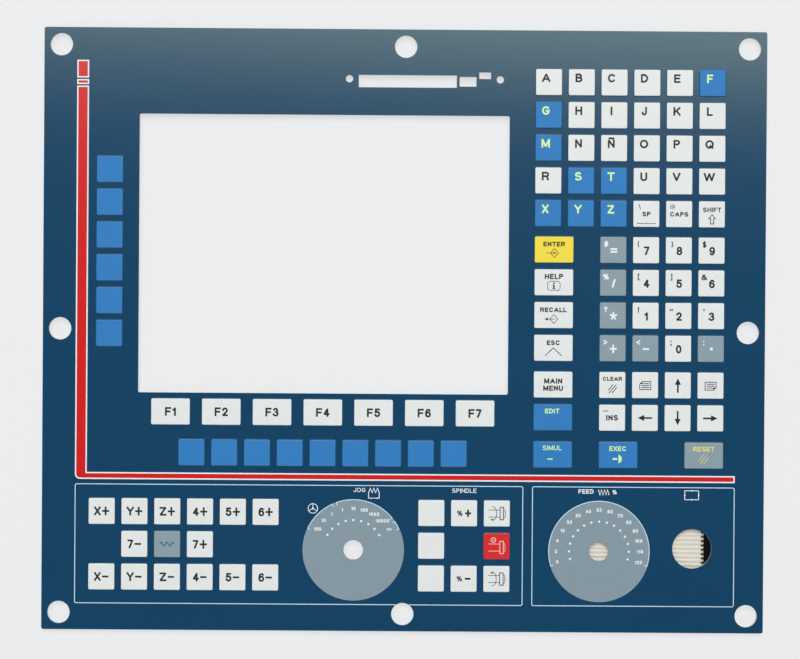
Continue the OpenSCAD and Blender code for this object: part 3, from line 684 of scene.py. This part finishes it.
def parted(path):
    """The runs of a path between its sharp corners, each with the shares its two ends are carried on by."""
    path = [path[0]] + [point for before, point in zip(path, path[1:]) if math.dist(before, point) > CLOSE]
    runs = [[[path[0]], END_SHARE, END_SHARE]]
    for before, corner, after in zip(path, path[1:], path[2:]):
        runs[-1][0].append(corner)
        turn = (Vector(corner) - Vector(before)).angle(Vector(after) - Vector(corner))
        if turn > SHARP_TURN:
            share = END_SHARE if turn < ACUTE_TURN else ACUTE_SHARE
            runs[-1][2] = share
            runs.append([[corner], share, END_SHARE])
    runs[-1][0].append(path[-1])
    return runs


def carried_on(path, first, last):
    """A path with its two ends carried on by a distance each."""
    ends = []
    for end, inner, reach in ((path[0], path[1], first), (path[-1], path[-2], last)):
        ends.append(tuple(Vector(end) + (Vector(end) - Vector(inner)).normalized() * reach))
    return [ends[0], *path[1:-1], ends[1]]


def written(text, weight):
    """Strokes of a text, one capital tall, about the middle of its width and height."""
    strokes, reach = [], 0.0
    for letter in text:
        share, *paths = GLYPHS[letter]
        width = max(share - weight, 0.0)
        for path in paths:
            placed = [(reach + weight / 2 + x * width, weight / 2 + y * (1 - weight) - 0.5) for x, y in path]
            if math.dist(placed[0], placed[-1]) < CLOSE:
                strokes.append(("loop", weight, placed[:-1]))
            else:
                runs = [carried_on(run, weight * a, weight * b) for run, a, b in parted(placed)]
                strokes += [("line", weight, run) for run in runs]
        reach += width + weight + LETTER_GAP
    middle = (reach - LETTER_GAP) / 2
    return [(kind, wide, [(x - middle, y) for x, y in path]) for kind, wide, path in strokes]


def stamp(pattern, sign, x, y, low, top):
    """Adds one sign of a legend to the pattern of its ink."""
    strokes = SIGNS[sign.what] if sign.what in SIGNS else written(sign.what, sign.weight)
    for step, (kind, width, path) in enumerate(strokes):
        high = top + step % STROKE_LAYERS * STROKE_STEP
        placed = [(x + sign.x + px * sign.height, y + sign.y + py * sign.height) for px, py in path]
        if kind == "fill":
            pattern.plate(placed, low, high)
            continue
        if kind == "loop":
            half_way = tuple((a + b) / 2 for a, b in zip(placed[0], placed[1]))
            placed = [half_way, *placed[1:], placed[0], half_way]
        pattern.ribbon(placed, width * sign.height, low, high)


# Keys

Key = namedtuple("Key", "x y width ink signs")


def signs_of(style, legend):
    """The signs of one key's legend."""
    if legend in NAMED_LEGENDS:
        return NAMED_LEGENDS[legend]
    if style == "letter":
        return (Sign(legend, *LETTER, BOLD),)
    if style == "number":
        weight = MEDIUM if legend[1] in THIN_SIGNS else BOLD
        return Sign(legend[0], *DIGIT, BOLD), Sign(legend[1], *SMALL, weight)
    return (Sign(legend, *CENTRED, BOLD),)


def all_keys(sizes):
    """Every key of the face, block by block."""
    keys = []
    for block in BLOCKS:
        pitch = getattr(sizes, block.pitch)
        width = sizes.wide_key_width if block.wide else sizes.key_width
        for j, (inks, legends) in enumerate(zip(block.inks, block.legends)):
            for i, (ink, legend) in enumerate(zip(inks, legends.split())):
                if ink != ".":
                    place = block.x + i * pitch, block.y - j * sizes.key_pitch
                    keys.append(Key(*place, width, ink, signs_of(block.style, legend)))
    return keys


def round_openings():
    """Middle and radius of every round opening through the sheet."""
    across, up, radius = CORNERS["spacing_x_mm"] / 2, CORNERS["spacing_y_mm"] / 2, CORNERS["hole_r_mm"]
    found = [(x * across, y * up, radius) for x in (-1, 0, 1) for y in (-1, 0, 1) if x or y]
    for name in ("jog_switch_hole", "feed_switch_hole", "stop_button_hole"):
        x, y, _ = MOUNTS[name]["pos_m"]
        found.append((x / MM, y / MM, MOUNTS[name]["dims"]["r_mm"]))
    return found + list(SCREW_HOLES)


def dial_places():
    """Each dial with its middle, the radius of its hole and the angles of its dots."""
    for dial in DIALS:
        x, y, _ = MOUNTS[dial.mount]["pos_m"]
        angles = [90.0 + ((dial.dots - 1) / 2 - i) * DIAL_STEP for i in range(dial.dots)]
        yield dial, x / MM, y / MM, MOUNTS[dial.mount]["dims"]["r_mm"], angles


# Finishes

# Height of the tail's flat face between its ribs, how high up the ribs the painted shade of the grooves
# reaches, how far out the table fades away, and how much its shadows are lifted by the even backdrop
TAIL_FACE, RIB_RISE = 1.35, 0.14
BACKDROP_NEAR, BACKDROP_FAR = 0.55, 1.4
SHADOW_LIFT = 0.75


class Wire:
    """An output of a finish's nodes. Sums on it add Math nodes, so shader maths reads as Python."""

    def __init__(self, tree, socket=None):
        self.tree, self.socket = tree, socket

    def node(self, kind, settings=None, values=None, output=0):
        """Adds a node: its settings first, then the values or links of its sockets."""
        made = self.tree.nodes.new(kind)
        for name, setting in (settings or {}).items():
            setattr(made, name, setting)
        for name, value in (values or {}).items():
            if isinstance(value, Wire):
                self.tree.links.new(value.socket, made.inputs[name])
            else:
                made.inputs[name].default_value = value
        return Wire(self.tree, made.outputs[output]) if made.outputs else None

    def maths(self, operation, first, second):
        """A Math node on two values or wires."""
        return self.node("ShaderNodeMath", {"operation": operation}, {0: first, 1: second})

    def __add__(self, other):
        return self.maths("ADD", self, other)

    def __radd__(self, other):
        return self.maths("ADD", other, self)

    def __sub__(self, other):
        return self.maths("SUBTRACT", self, other)

    def __mul__(self, other):
        return self.maths("MULTIPLY", self, other)

    def __rmul__(self, other):
        return self.maths("MULTIPLY", other, self)

    def held(self, low, high):
        """The share of the way from low to high, held between 0 and 1."""
        ends = {"Value": self, "From Min": low, "From Max": high}
        return self.node("ShaderNodeMapRange", {"clamp": True}, ends)

    def noise(self, place, scale, detail=2.0, stretch=(1.0, 1.0, 1.0)):
        """Smooth noise, with grains about one scale-th of a metre across."""
        spread = self.node("ShaderNodeVectorMath", {"operation": "MULTIPLY"}, {0: place, 1: stretch})
        return self.node("ShaderNodeTexNoise", {}, {"Vector": spread, "Scale": scale, "Detail": detail})

    def mix(self, share, first, second):
        """A colour between two colours."""
        return self.node("ShaderNodeMix", {"data_type": "RGBA"}, {0: share, 6: first, 7: second}, 2)

    def bump(self, height, strength, distance):
        """A surface normal from small heights."""
        return self.node("ShaderNodeBump", {}, {"Height": height, "Strength": strength, "Distance": distance})


def shade(base, factor):
    """A colour made darker or lighter, with full alpha."""
    return tuple(min(c * factor, 1.0) for c in base) + (1.0,)


def start_finish(name):
    """A new finish with its first wire and the place on the piece."""
    finish = bpy.data.materials.new(name)
    finish.use_nodes = True
    finish.node_tree.nodes.clear()
    wire = Wire(finish.node_tree)
    return finish, wire, wire.node("ShaderNodeTexCoord", output="Object")


def end_finish(wire, **sockets):
    """Closes a finish with one surface shader."""
    names = {name.replace("_", " ").title().replace("Ior", "IOR"): value for name, value in sockets.items()}
    surface = wire.node("ShaderNodeBsdfPrincipled", {}, names)
    wire.node("ShaderNodeOutputMaterial", {}, {"Surface": surface})


def satin_film(base):
    """Front film: satin face with a fine velvet grain, and faint drifts in the printed colour."""
    finish, wire, place = start_finish("satin_navy_film")
    grain = wire.noise(place, 5200.0, 2.0)
    drift = wire.noise(place, 26.0, 3.0, (0.35, 1.0, 1.0))
    tone = wire.mix(drift, shade(base, 0.93), shade(base, 1.07))
    end_finish(
        wire, base_color=tone, roughness=0.165 + 0.03 * drift, normal=wire.bump(grain, 0.12, 0.00002),
        specular_ior_level=0.5, specular_tint=(0.86, 1.0, 0.7, 1.0),
    )
    return finish


def screen_ink(name, base, shoulder, top):
    """Screen-printed ink: matte on the flat, glossier on the drawn edge, with a faint mesh."""
    finish, wire, place = start_finish(name)
    flat = wire.node("ShaderNodeSeparateXYZ", {}, {0: place}, "Z").held(shoulder * MM, top * MM)
    mesh = wire.noise(place, 3600.0, 1.0)
    cover = wire.noise(place, 160.0, 4.0)
    tone = wire.mix(cover, shade(base, 0.965), shade(base, 1.03))
    end_finish(
        wire, base_color=tone, roughness=0.26 + 0.34 * flat + 0.08 * (mesh - 0.5), specular_ior_level=0.4,
        normal=wire.bump(mesh, 0.10, 0.000015),
    )
    return finish


def lettering_ink(name, base):
    """Ink of lines and legends: thin cover with small gaps in its density."""
    finish, wire, place = start_finish(name)
    cover = wire.noise(place, 900.0, 3.0)
    tone = wire.mix(cover.held(0.3, 0.6), shade(base, 0.9), shade(base, 1.02))
    end_finish(wire, base_color=tone, roughness=0.52 + 0.14 * cover, specular_ior_level=0.4)
    return finish


def clear_layer(name, base, roughness=0.3):
    """A pale film or adhesive layer, seen at its cut edges."""
    finish, wire, place = start_finish(name)
    cut = wire.noise(place, 700.0, 3.0, (1.0, 1.0, 6.0))
    cloud = wire.noise(place, 60.0, 2.0)
    tone = wire.mix(cloud, shade(base, 0.92), shade(base, 1.04))
    end_finish(
        wire, base_color=tone, roughness=roughness + 0.15 * cut, normal=wire.bump(cut, 0.15, 0.00002),
        specular_ior_level=0.5,
    )
    return finish


def release_paper(base):
    """Liner on the back: coated paper with short fibres and faint clouds."""
    finish, wire, place = start_finish("release_paper")
    fibre = wire.noise(place, 900.0, 5.0, (0.25, 1.0, 1.0))
    cloud = wire.noise(place, 45.0, 3.0)
    tone = wire.mix(fibre * 0.6 + cloud * 0.4, shade(base, 0.9), shade(base, 1.05))
    end_finish(
        wire, base_color=tone, roughness=0.5 + 0.25 * fibre, normal=wire.bump(fibre, 0.2, 0.00003),
        specular_ior_level=0.3,
    )
    return finish


def sprung_steel(name, base, roughness):
    """Rolled metal with fine lines along one direction."""
    finish, wire, place = start_finish(name)
    lines = wire.noise(place, 2600.0, 3.0, (0.05, 1.0, 1.0))
    tone = wire.mix(lines, shade(base, 0.86), shade(base, 1.06))
    end_finish(
        wire, base_color=tone, metallic=1.0, roughness=roughness + 0.2 * (lines - 0.5),
        normal=wire.bump(lines, 0.1, 0.00001),
    )
    return finish


def ribbed_tail_film(base):
    """Cream tail: glossy ribs with dust all over, and painted shade in the grooves between them."""
    finish, wire, place = start_finish("cream_tail_film")
    height = wire.node("ShaderNodeSeparateXYZ", {}, {0: place}, "Z")
    crown = height.held(TAIL_FACE * MM, (TAIL_FACE + RIB_RISE) * MM)
    dust = wire.noise(place, 420.0, 4.0, (0.2, 1.0, 1.0))
    # Painted shade: the colour is darkest at the grooves' floor and lightens up to the rib crowns.
    tone = wire.mix(crown, shade(base, 0.88), wire.mix(dust, shade(base, 0.94), shade(base, 1.03)))
    end_finish(
        wire, base_color=tone, roughness=0.42 + 0.2 * dust, normal=wire.bump(dust, 0.08, 0.00003),
        specular_ior_level=0.45,
    )
    return finish


def moulded_black(base):
    """Connector housing: black plastic with a fine moulded grain and faint greyer clouds."""
    finish, wire, place = start_finish("moulded_black_plastic")
    grain = wire.noise(place, 1800.0, 3.0)
    flow = wire.noise(place, 120.0, 2.0)
    tone = wire.mix(flow, shade(base, 0.8), shade(base, 1.5))
    end_finish(
        wire, base_color=tone, roughness=0.5 + 0.15 * grain, normal=wire.bump(grain, 0.2, 0.00003),
        specular_ior_level=0.08,
    )
    return finish


def table_top(base):
    """Pale table, which fades into an even pale backdrop away from the keypad."""
    finish, wire, place = start_finish("pale_table")
    fleck = wire.noise(place, 35.0, 3.0)
    tone = wire.mix(fleck, shade(base, 0.985), shade(base, 1.01))
    matte = wire.node("ShaderNodeBsdfDiffuse", {}, {"Color": tone})
    even = wire.node("ShaderNodeEmission", {}, {"Color": shade(base, 1.0)})
    away = wire.node("ShaderNodeVectorMath", {"operation": "LENGTH"}, {0: place}, "Value")
    rays = [wire.node("ShaderNodeLightPath", output=name)
            for name in ("Is Camera Ray", "Is Glossy Ray", "Is Transmission Ray")]
    seen = sum(rays, 0.0).held(0.0, 1.0)
    far = away.held(BACKDROP_NEAR, BACKDROP_FAR)
    share = (far * (1 - SHADOW_LIFT) + SHADOW_LIFT) * seen
    surface = wire.node("ShaderNodeMixShader", {}, {0: share, 1: matte, 2: even})
    wire.node("ShaderNodeOutputMaterial", {}, {"Surface": surface})
    return finish


def refinish(node, finish):
    """Gives a piece of the frame its new finish."""
    mesh = frame["nodes"][node].data
    mesh.materials.clear()
    mesh.materials.append(finish)


# Pieces


class KEYPAD_OT_front_film(bpy.types.Operator):
    """Builds the front film with its openings and its embossed, hollow keys"""

    bl_idname = "keypad.front_film"
    bl_label = "Front film"

    def execute(self, context):
        sizes = in_millimetres(context)
        face, under, ceiling = sizes.face, FILM_LOW.z, FILM_LOW.z + sizes.key_rise
        film = Pattern()
        edge = round_rect(0.0, 0.0, FILM_TOP.x - FILM_LOW.x, FILM_TOP.y - FILM_LOW.y, sizes.sheet_corner)
        openings = [round_rect(*opening) for opening in SQUARE_OPENINGS]
        openings += [circle(*opening) for opening in round_openings()]
        edge_top, edge_foot = film.loop(edge, face), film.loop(edge, under)
        film.skirt(edge_foot, edge_top)
        holes_top, holes_foot = [], []
        for opening in openings:
            holes_top.append(film.loop(opening, face))
            holes_foot.append(film.loop(opening, under))
            film.skirt(holes_top[-1], holes_foot[-1])
        for key in all_keys(sizes):
            loops = [film.loop(key_outline(key, sizes, out), face + share * sizes.key_rise)
                     for out, share in FLANK]
            film.walls(loops)
            film.lid(loops[-1])
            hollow_foot = film.loop(key_outline(key, sizes, HOLLOW_FOOT), under)
            hollow_top = film.loop(key_outline(key, sizes, HOLLOW_CEILING), ceiling)
            film.skirt(hollow_top, hollow_foot)
            film.lid(hollow_top, up=False)
            holes_top.append(loops[0])
            holes_foot.append(hollow_foot)
        film.sheet(edge_top, holes_top)
        film.sheet(edge_foot, holes_foot, up=False)
        film.piece("front_film", satin_film(colours_of(context).film), "overlay_film", "graphic_overlay")
        return {"FINISHED"}


class KEYPAD_OT_printed_fields(bpy.types.Operator):
    """Prints the key tops in their five inks, the two dials and the stripe"""

    bl_idname = "keypad.printed_fields"
    bl_label = "Printed fields"

    def execute(self, context):
        sizes, colours = in_millimetres(context), colours_of(context)
        low, high = sizes.face, sizes.face + sizes.ink
        inks = {name: Pattern() for name in INK_NAMES.values()}
        shoulder = INK_TOP - SHOULDER * sizes.key_rise
        over = lifted(FLANK[INK_FOOT:], sizes.key_rise, sizes.ink)
        below = lifted(FLANK[INK_FOOT:], sizes.key_rise, -INK_SINK)
        for key in all_keys(sizes):
            ink = inks[INK_NAMES[key.ink]]
            loops = [ink.loop(key_outline(key, sizes, out), low + height)
                     for out, height in below[::-1] + over]
            ink.lid(loops[0], up=False)
            ink.walls(loops)
            ink.lid(loops[-1])
        for _, x, y, hole, _ in dial_places():
            rim = circle(x, y, sizes.dial / 2, DIAL_SIDES)
            inks["grey"].ring(rim, circle(x, y, hole, DIAL_SIDES), low, high)
        for outline in stripe_fields(sizes.stripe_line):
            inks["red"].plate(outline, low, high)
        for name, ink in inks.items():
            finish = screen_ink(f"{name}_screen_ink", getattr(colours, name), shoulder, INK_TOP)
            ink.piece(f"{name}_fields", finish, f"{name}_ink", f"{name}_print")
        return {"FINISHED"}


class KEYPAD_OT_printed_lines(bpy.types.Operator):
    """Prints the line frames, the stripe's outlines and the dial scales"""

    bl_idname = "keypad.printed_lines"
    bl_label = "Printed lines"

    def execute(self, context):
        sizes, colours = in_millimetres(context), colours_of(context)
        low, high, width = sizes.face, sizes.face + sizes.ink, sizes.line
        thin, white = Pattern(), Pattern()
        outer = box_outline(*FEED_FRAME, radius=sizes.frame_corner)
        thin.ring(outer, box_outline(*FEED_FRAME, width, sizes.frame_corner - width), low, high)
        thin.ribbon(self.cut_frame(sizes), width, low, high)
        for outer, inner in zip(stripe_fields(0.0), stripe_fields(sizes.stripe_line)):
            white.ring(outer, inner, low, high)
        for dial, x, y, _, angles in dial_places():
            for angle in angles:
                dot = circle(*polar(x, y, sizes.dot_ring, angle), sizes.dot / 2, DOT_SIDES)
                white.plate(dot, high, high + sizes.ink)
            self.arcs(thin, sizes, dial, x, y, angles, high)
        for name, lines, base in (("frame", thin, colours.lines), ("white", white, colours.bright)):
            lines.piece(f"{name}_lines", lettering_ink(f"{name}_line_ink", base), "white_ink", "white_print")
        return {"FINISHED"}

    def cut_frame(self, sizes):
        """Middle line of the jog frame, which stops at the rim of the mounting hole below it."""
        half, bottom = sizes.line / 2, JOG_FRAME[2]
        low = bottom + half
        outline = box_outline(*JOG_FRAME, half, sizes.frame_corner - half)
        first = next(i for i, (x, y) in enumerate(outline) if y <= low + CLOSE and x > 0)
        drop = CORNERS["spacing_y_mm"] / 2 + bottom
        gap = math.sqrt(CORNERS["hole_r_mm"] ** 2 - drop ** 2)
        return [(gap, low), *outline[first:], *outline[:first], (-gap, low)]

    def arcs(self, lines, sizes, dial, x, y, angles, low):
        """Arcs along a dial's rim with a tick at each end."""
        high, rim = low + sizes.ink, sizes.dial / 2 - sizes.line / 2
        for first, last in dial.arcs:
            start, end = angles[first] + dial.past, angles[last] - dial.past
            path = arc(x, y, rim, start, end, max(int((start - end) / ARC_STEP), ARC_LEAST))
            ticks = [polar(x, y, rim - sizes.tick, angle) for angle in (start, end)]
            lines.ribbon([ticks[0], *path, ticks[1]], sizes.line, low, high)


class KEYPAD_OT_legends(bpy.types.Operator):
    """Letters the keys, the dials and the film"""

    bl_idname = "keypad.legends"
    bl_label = "Legends"

    def execute(self, context):
        sizes, colours = in_millimetres(context), colours_of(context)
        key_top, dial_top, face = FILM_TOP.z + sizes.ink, sizes.face + sizes.ink, sizes.face
        inks = {name: Pattern() for name in LEGEND_SLOTS}
        for key in all_keys(sizes):
            for sign in key.signs:
                ink = inks[sign.ink or LEGEND_INK[key.ink]]
                stamp(ink, sign, key.x, key.y, key_top, key_top + sizes.legend)
        for sign in FILM_SIGNS:
            stamp(inks["bright"], sign, 0.0, 0.0, face, face + sizes.legend)
        for dial, x, y, _, angles in dial_places():
            for angle, label in zip(angles, dial.labels.split()):
                place = polar(x, y, sizes.label_ring, angle)
                digits = max(USUAL_DIGITS - len(label), MOST_IN)
                out = LABEL_NUDGE * digits * math.cos(math.radians(angle))
                sign = Sign(label, out, 0.0, 1.0 if label in SIGNS else DIAL_LABEL, BOLD)
                stamp(inks["bright"], sign, *place, dial_top, dial_top + sizes.legend)
        for name, ink in inks.items():
            finish = lettering_ink(f"{name}_legend_ink", getattr(colours, name))
            ink.piece(f"{name}_legends", finish, LEGEND_SLOTS[name])
        return {"FINISHED"}


class KEYPAD_OT_hidden_layers(bpy.types.Operator):
    """Finishes the layers behind the film: adhesives, spacer, domes, contacts, circuit film and liner"""

    bl_idname = "keypad.hidden_layers"
    bl_label = "Layers behind the film"

    def execute(self, context):
        colours = colours_of(context)
        refinish("overlay_adhesive", clear_layer("front_adhesive", colours.adhesive, 0.45))
        refinish("rear_adhesive", clear_layer("rear_adhesive", colours.adhesive, 0.45))
        refinish("dome_spacer", clear_layer("spacer_film", colours.spacer))
        refinish("circuit_film", clear_layer("circuit_film", colours.circuit, 0.2))
        refinish("snap_domes", sprung_steel("dome_steel", colours.steel, 0.3))
        refinish("silver_contacts", sprung_steel("silver_ink", colours.silver, 0.45))
        refinish("release_liner", release_paper(colours.liner))
        return {"FINISHED"}


class KEYPAD_OT_tail(bpy.types.Operator):
    """Finishes the ribbed tail, its connector and the contacts"""

    bl_idname = "keypad.tail"
    bl_label = "Tail and connector"

    def execute(self, context):
        colours = colours_of(context)
        refinish("flat_tail", ribbed_tail_film(colours.tail))
        refinish("tail_connector", moulded_black(colours.connector))
        refinish("connector_contacts", sprung_steel("tinned_contacts", colours.plating, 0.35))
        return {"FINISHED"}


class KEYPAD_OT_stage(bpy.types.Operator):
    """Sets the pale table, the soft light and the camera above the keypad"""

    bl_idname = "keypad.stage"
    bl_label = "Stage"

    # Radius and height of the rings of the table and its backdrop, in metres, and their number of sides
    FLOOR_PROFILE = ((0.4, 0.0), (2.0, 0.0), (5.0, 0.0), (5.6, 0.15), (6.0, 0.6), (6.1, 1.4), (6.1, 5.0))
    FLOOR_SIDES = 96
    # Place and size of each light, in metres, and the colour of the room's own light
    SOFTBOX = ((0.12, 2.11, 3.36), (3.6, 2.66))
    FILL_LIGHT = ((-0.8, -3.0, 2.6), (2.4, 2.0))
    ROOM_COLOUR = (0.94, 0.97, 1.0, 1.0)
    # Place of the camera in metres, and its turn in radians
    CAMERA_PLACE = (-0.00455, 0.00342, 0.77913)
    CAMERA_TURN = (-0.00363, -0.00267, 0.00696)

    def execute(self, context):
        stage = context.scene.keypad_stage
        self.floor(colours_of(context).floor)
        self.soft_light("softbox", *self.SOFTBOX, stage.softbox_power)
        self.soft_light("fill_light", *self.FILL_LIGHT, stage.fill_power)
        world = bpy.data.worlds.new("room")
        world.use_nodes = True
        inputs = world.node_tree.nodes["Background"].inputs
        inputs["Color"].default_value, inputs["Strength"].default_value = self.ROOM_COLOUR, stage.room
        context.scene.world = world
        camera = in_scene("camera", bpy.data.cameras.new("camera"))
        camera.data.lens = stage.lens
        camera.location, camera.rotation_euler = self.CAMERA_PLACE, self.CAMERA_TURN
        context.scene.camera = camera
        context.scene.view_settings.view_transform = "Standard"
        return {"FINISHED"}

    def floor(self, base):
        """A round table top that rises into a backdrop all round."""
        table = Pattern()
        loops = [table.loop(circle(0.0, 0.0, radius / MM, self.FLOOR_SIDES), z / MM)
                 for radius, z in self.FLOOR_PROFILE]
        table.lid(loops[0])
        table.walls(loops[::-1])
        made = table.made("table", table_top(base))

    def soft_light(self, name, place, size, power):
        """A rectangular light that faces the middle of the keypad."""
        data = bpy.data.lights.new(name, "AREA")
        data.shape, data.size, data.size_y, data.energy = "RECTANGLE", *size, power
        lamp = in_scene(name, data)
        lamp.location = place
        lamp.rotation_euler = (-Vector(place)).to_track_quat("-Z", "Y").to_euler()


STEPS = (
    KEYPAD_OT_front_film,
    KEYPAD_OT_printed_fields,
    KEYPAD_OT_printed_lines,
    KEYPAD_OT_legends,
    KEYPAD_OT_hidden_layers,
    KEYPAD_OT_tail,
    KEYPAD_OT_stage,
)


class KEYPAD_PT_sidebar(bpy.types.Panel):
    """The keypad's sizes, colours and building steps"""

    bl_label = "Membrane keypad"
    bl_idname = "KEYPAD_PT_sidebar"
    bl_space_type = "VIEW_3D"
    bl_region_type = "UI"
    bl_category = "Keypad"

    def draw(self, context):
        for step in STEPS:
            self.layout.operator(step.bl_idname)
        for name in GROUPS:
            group = getattr(context.scene, name)
            box = self.layout.box()
            for prop in type(group).__annotations__:
                box.prop(group, prop)


CLASSES = (*GROUPS.values(), *STEPS, KEYPAD_PT_sidebar)


def register():
    """Registers the classes and hangs the settings on the scene."""
    for cls in CLASSES:
        bpy.utils.register_class(cls)
    for name, group in GROUPS.items():
        setattr(bpy.types.Scene, name, bpy.props.PointerProperty(type=group))


def unregister():
    """Takes the settings and the classes away again."""
    for name in GROUPS:
        delattr(bpy.types.Scene, name)
    for cls in reversed(CLASSES):
        bpy.utils.unregister_class(cls)


def main():
    """Builds every piece and the stage."""
    register()
    for step in STEPS:
        group, name = step.bl_idname.split(".")
        getattr(getattr(bpy.ops, group), name)()


if __name__ == "__main__":
    main()
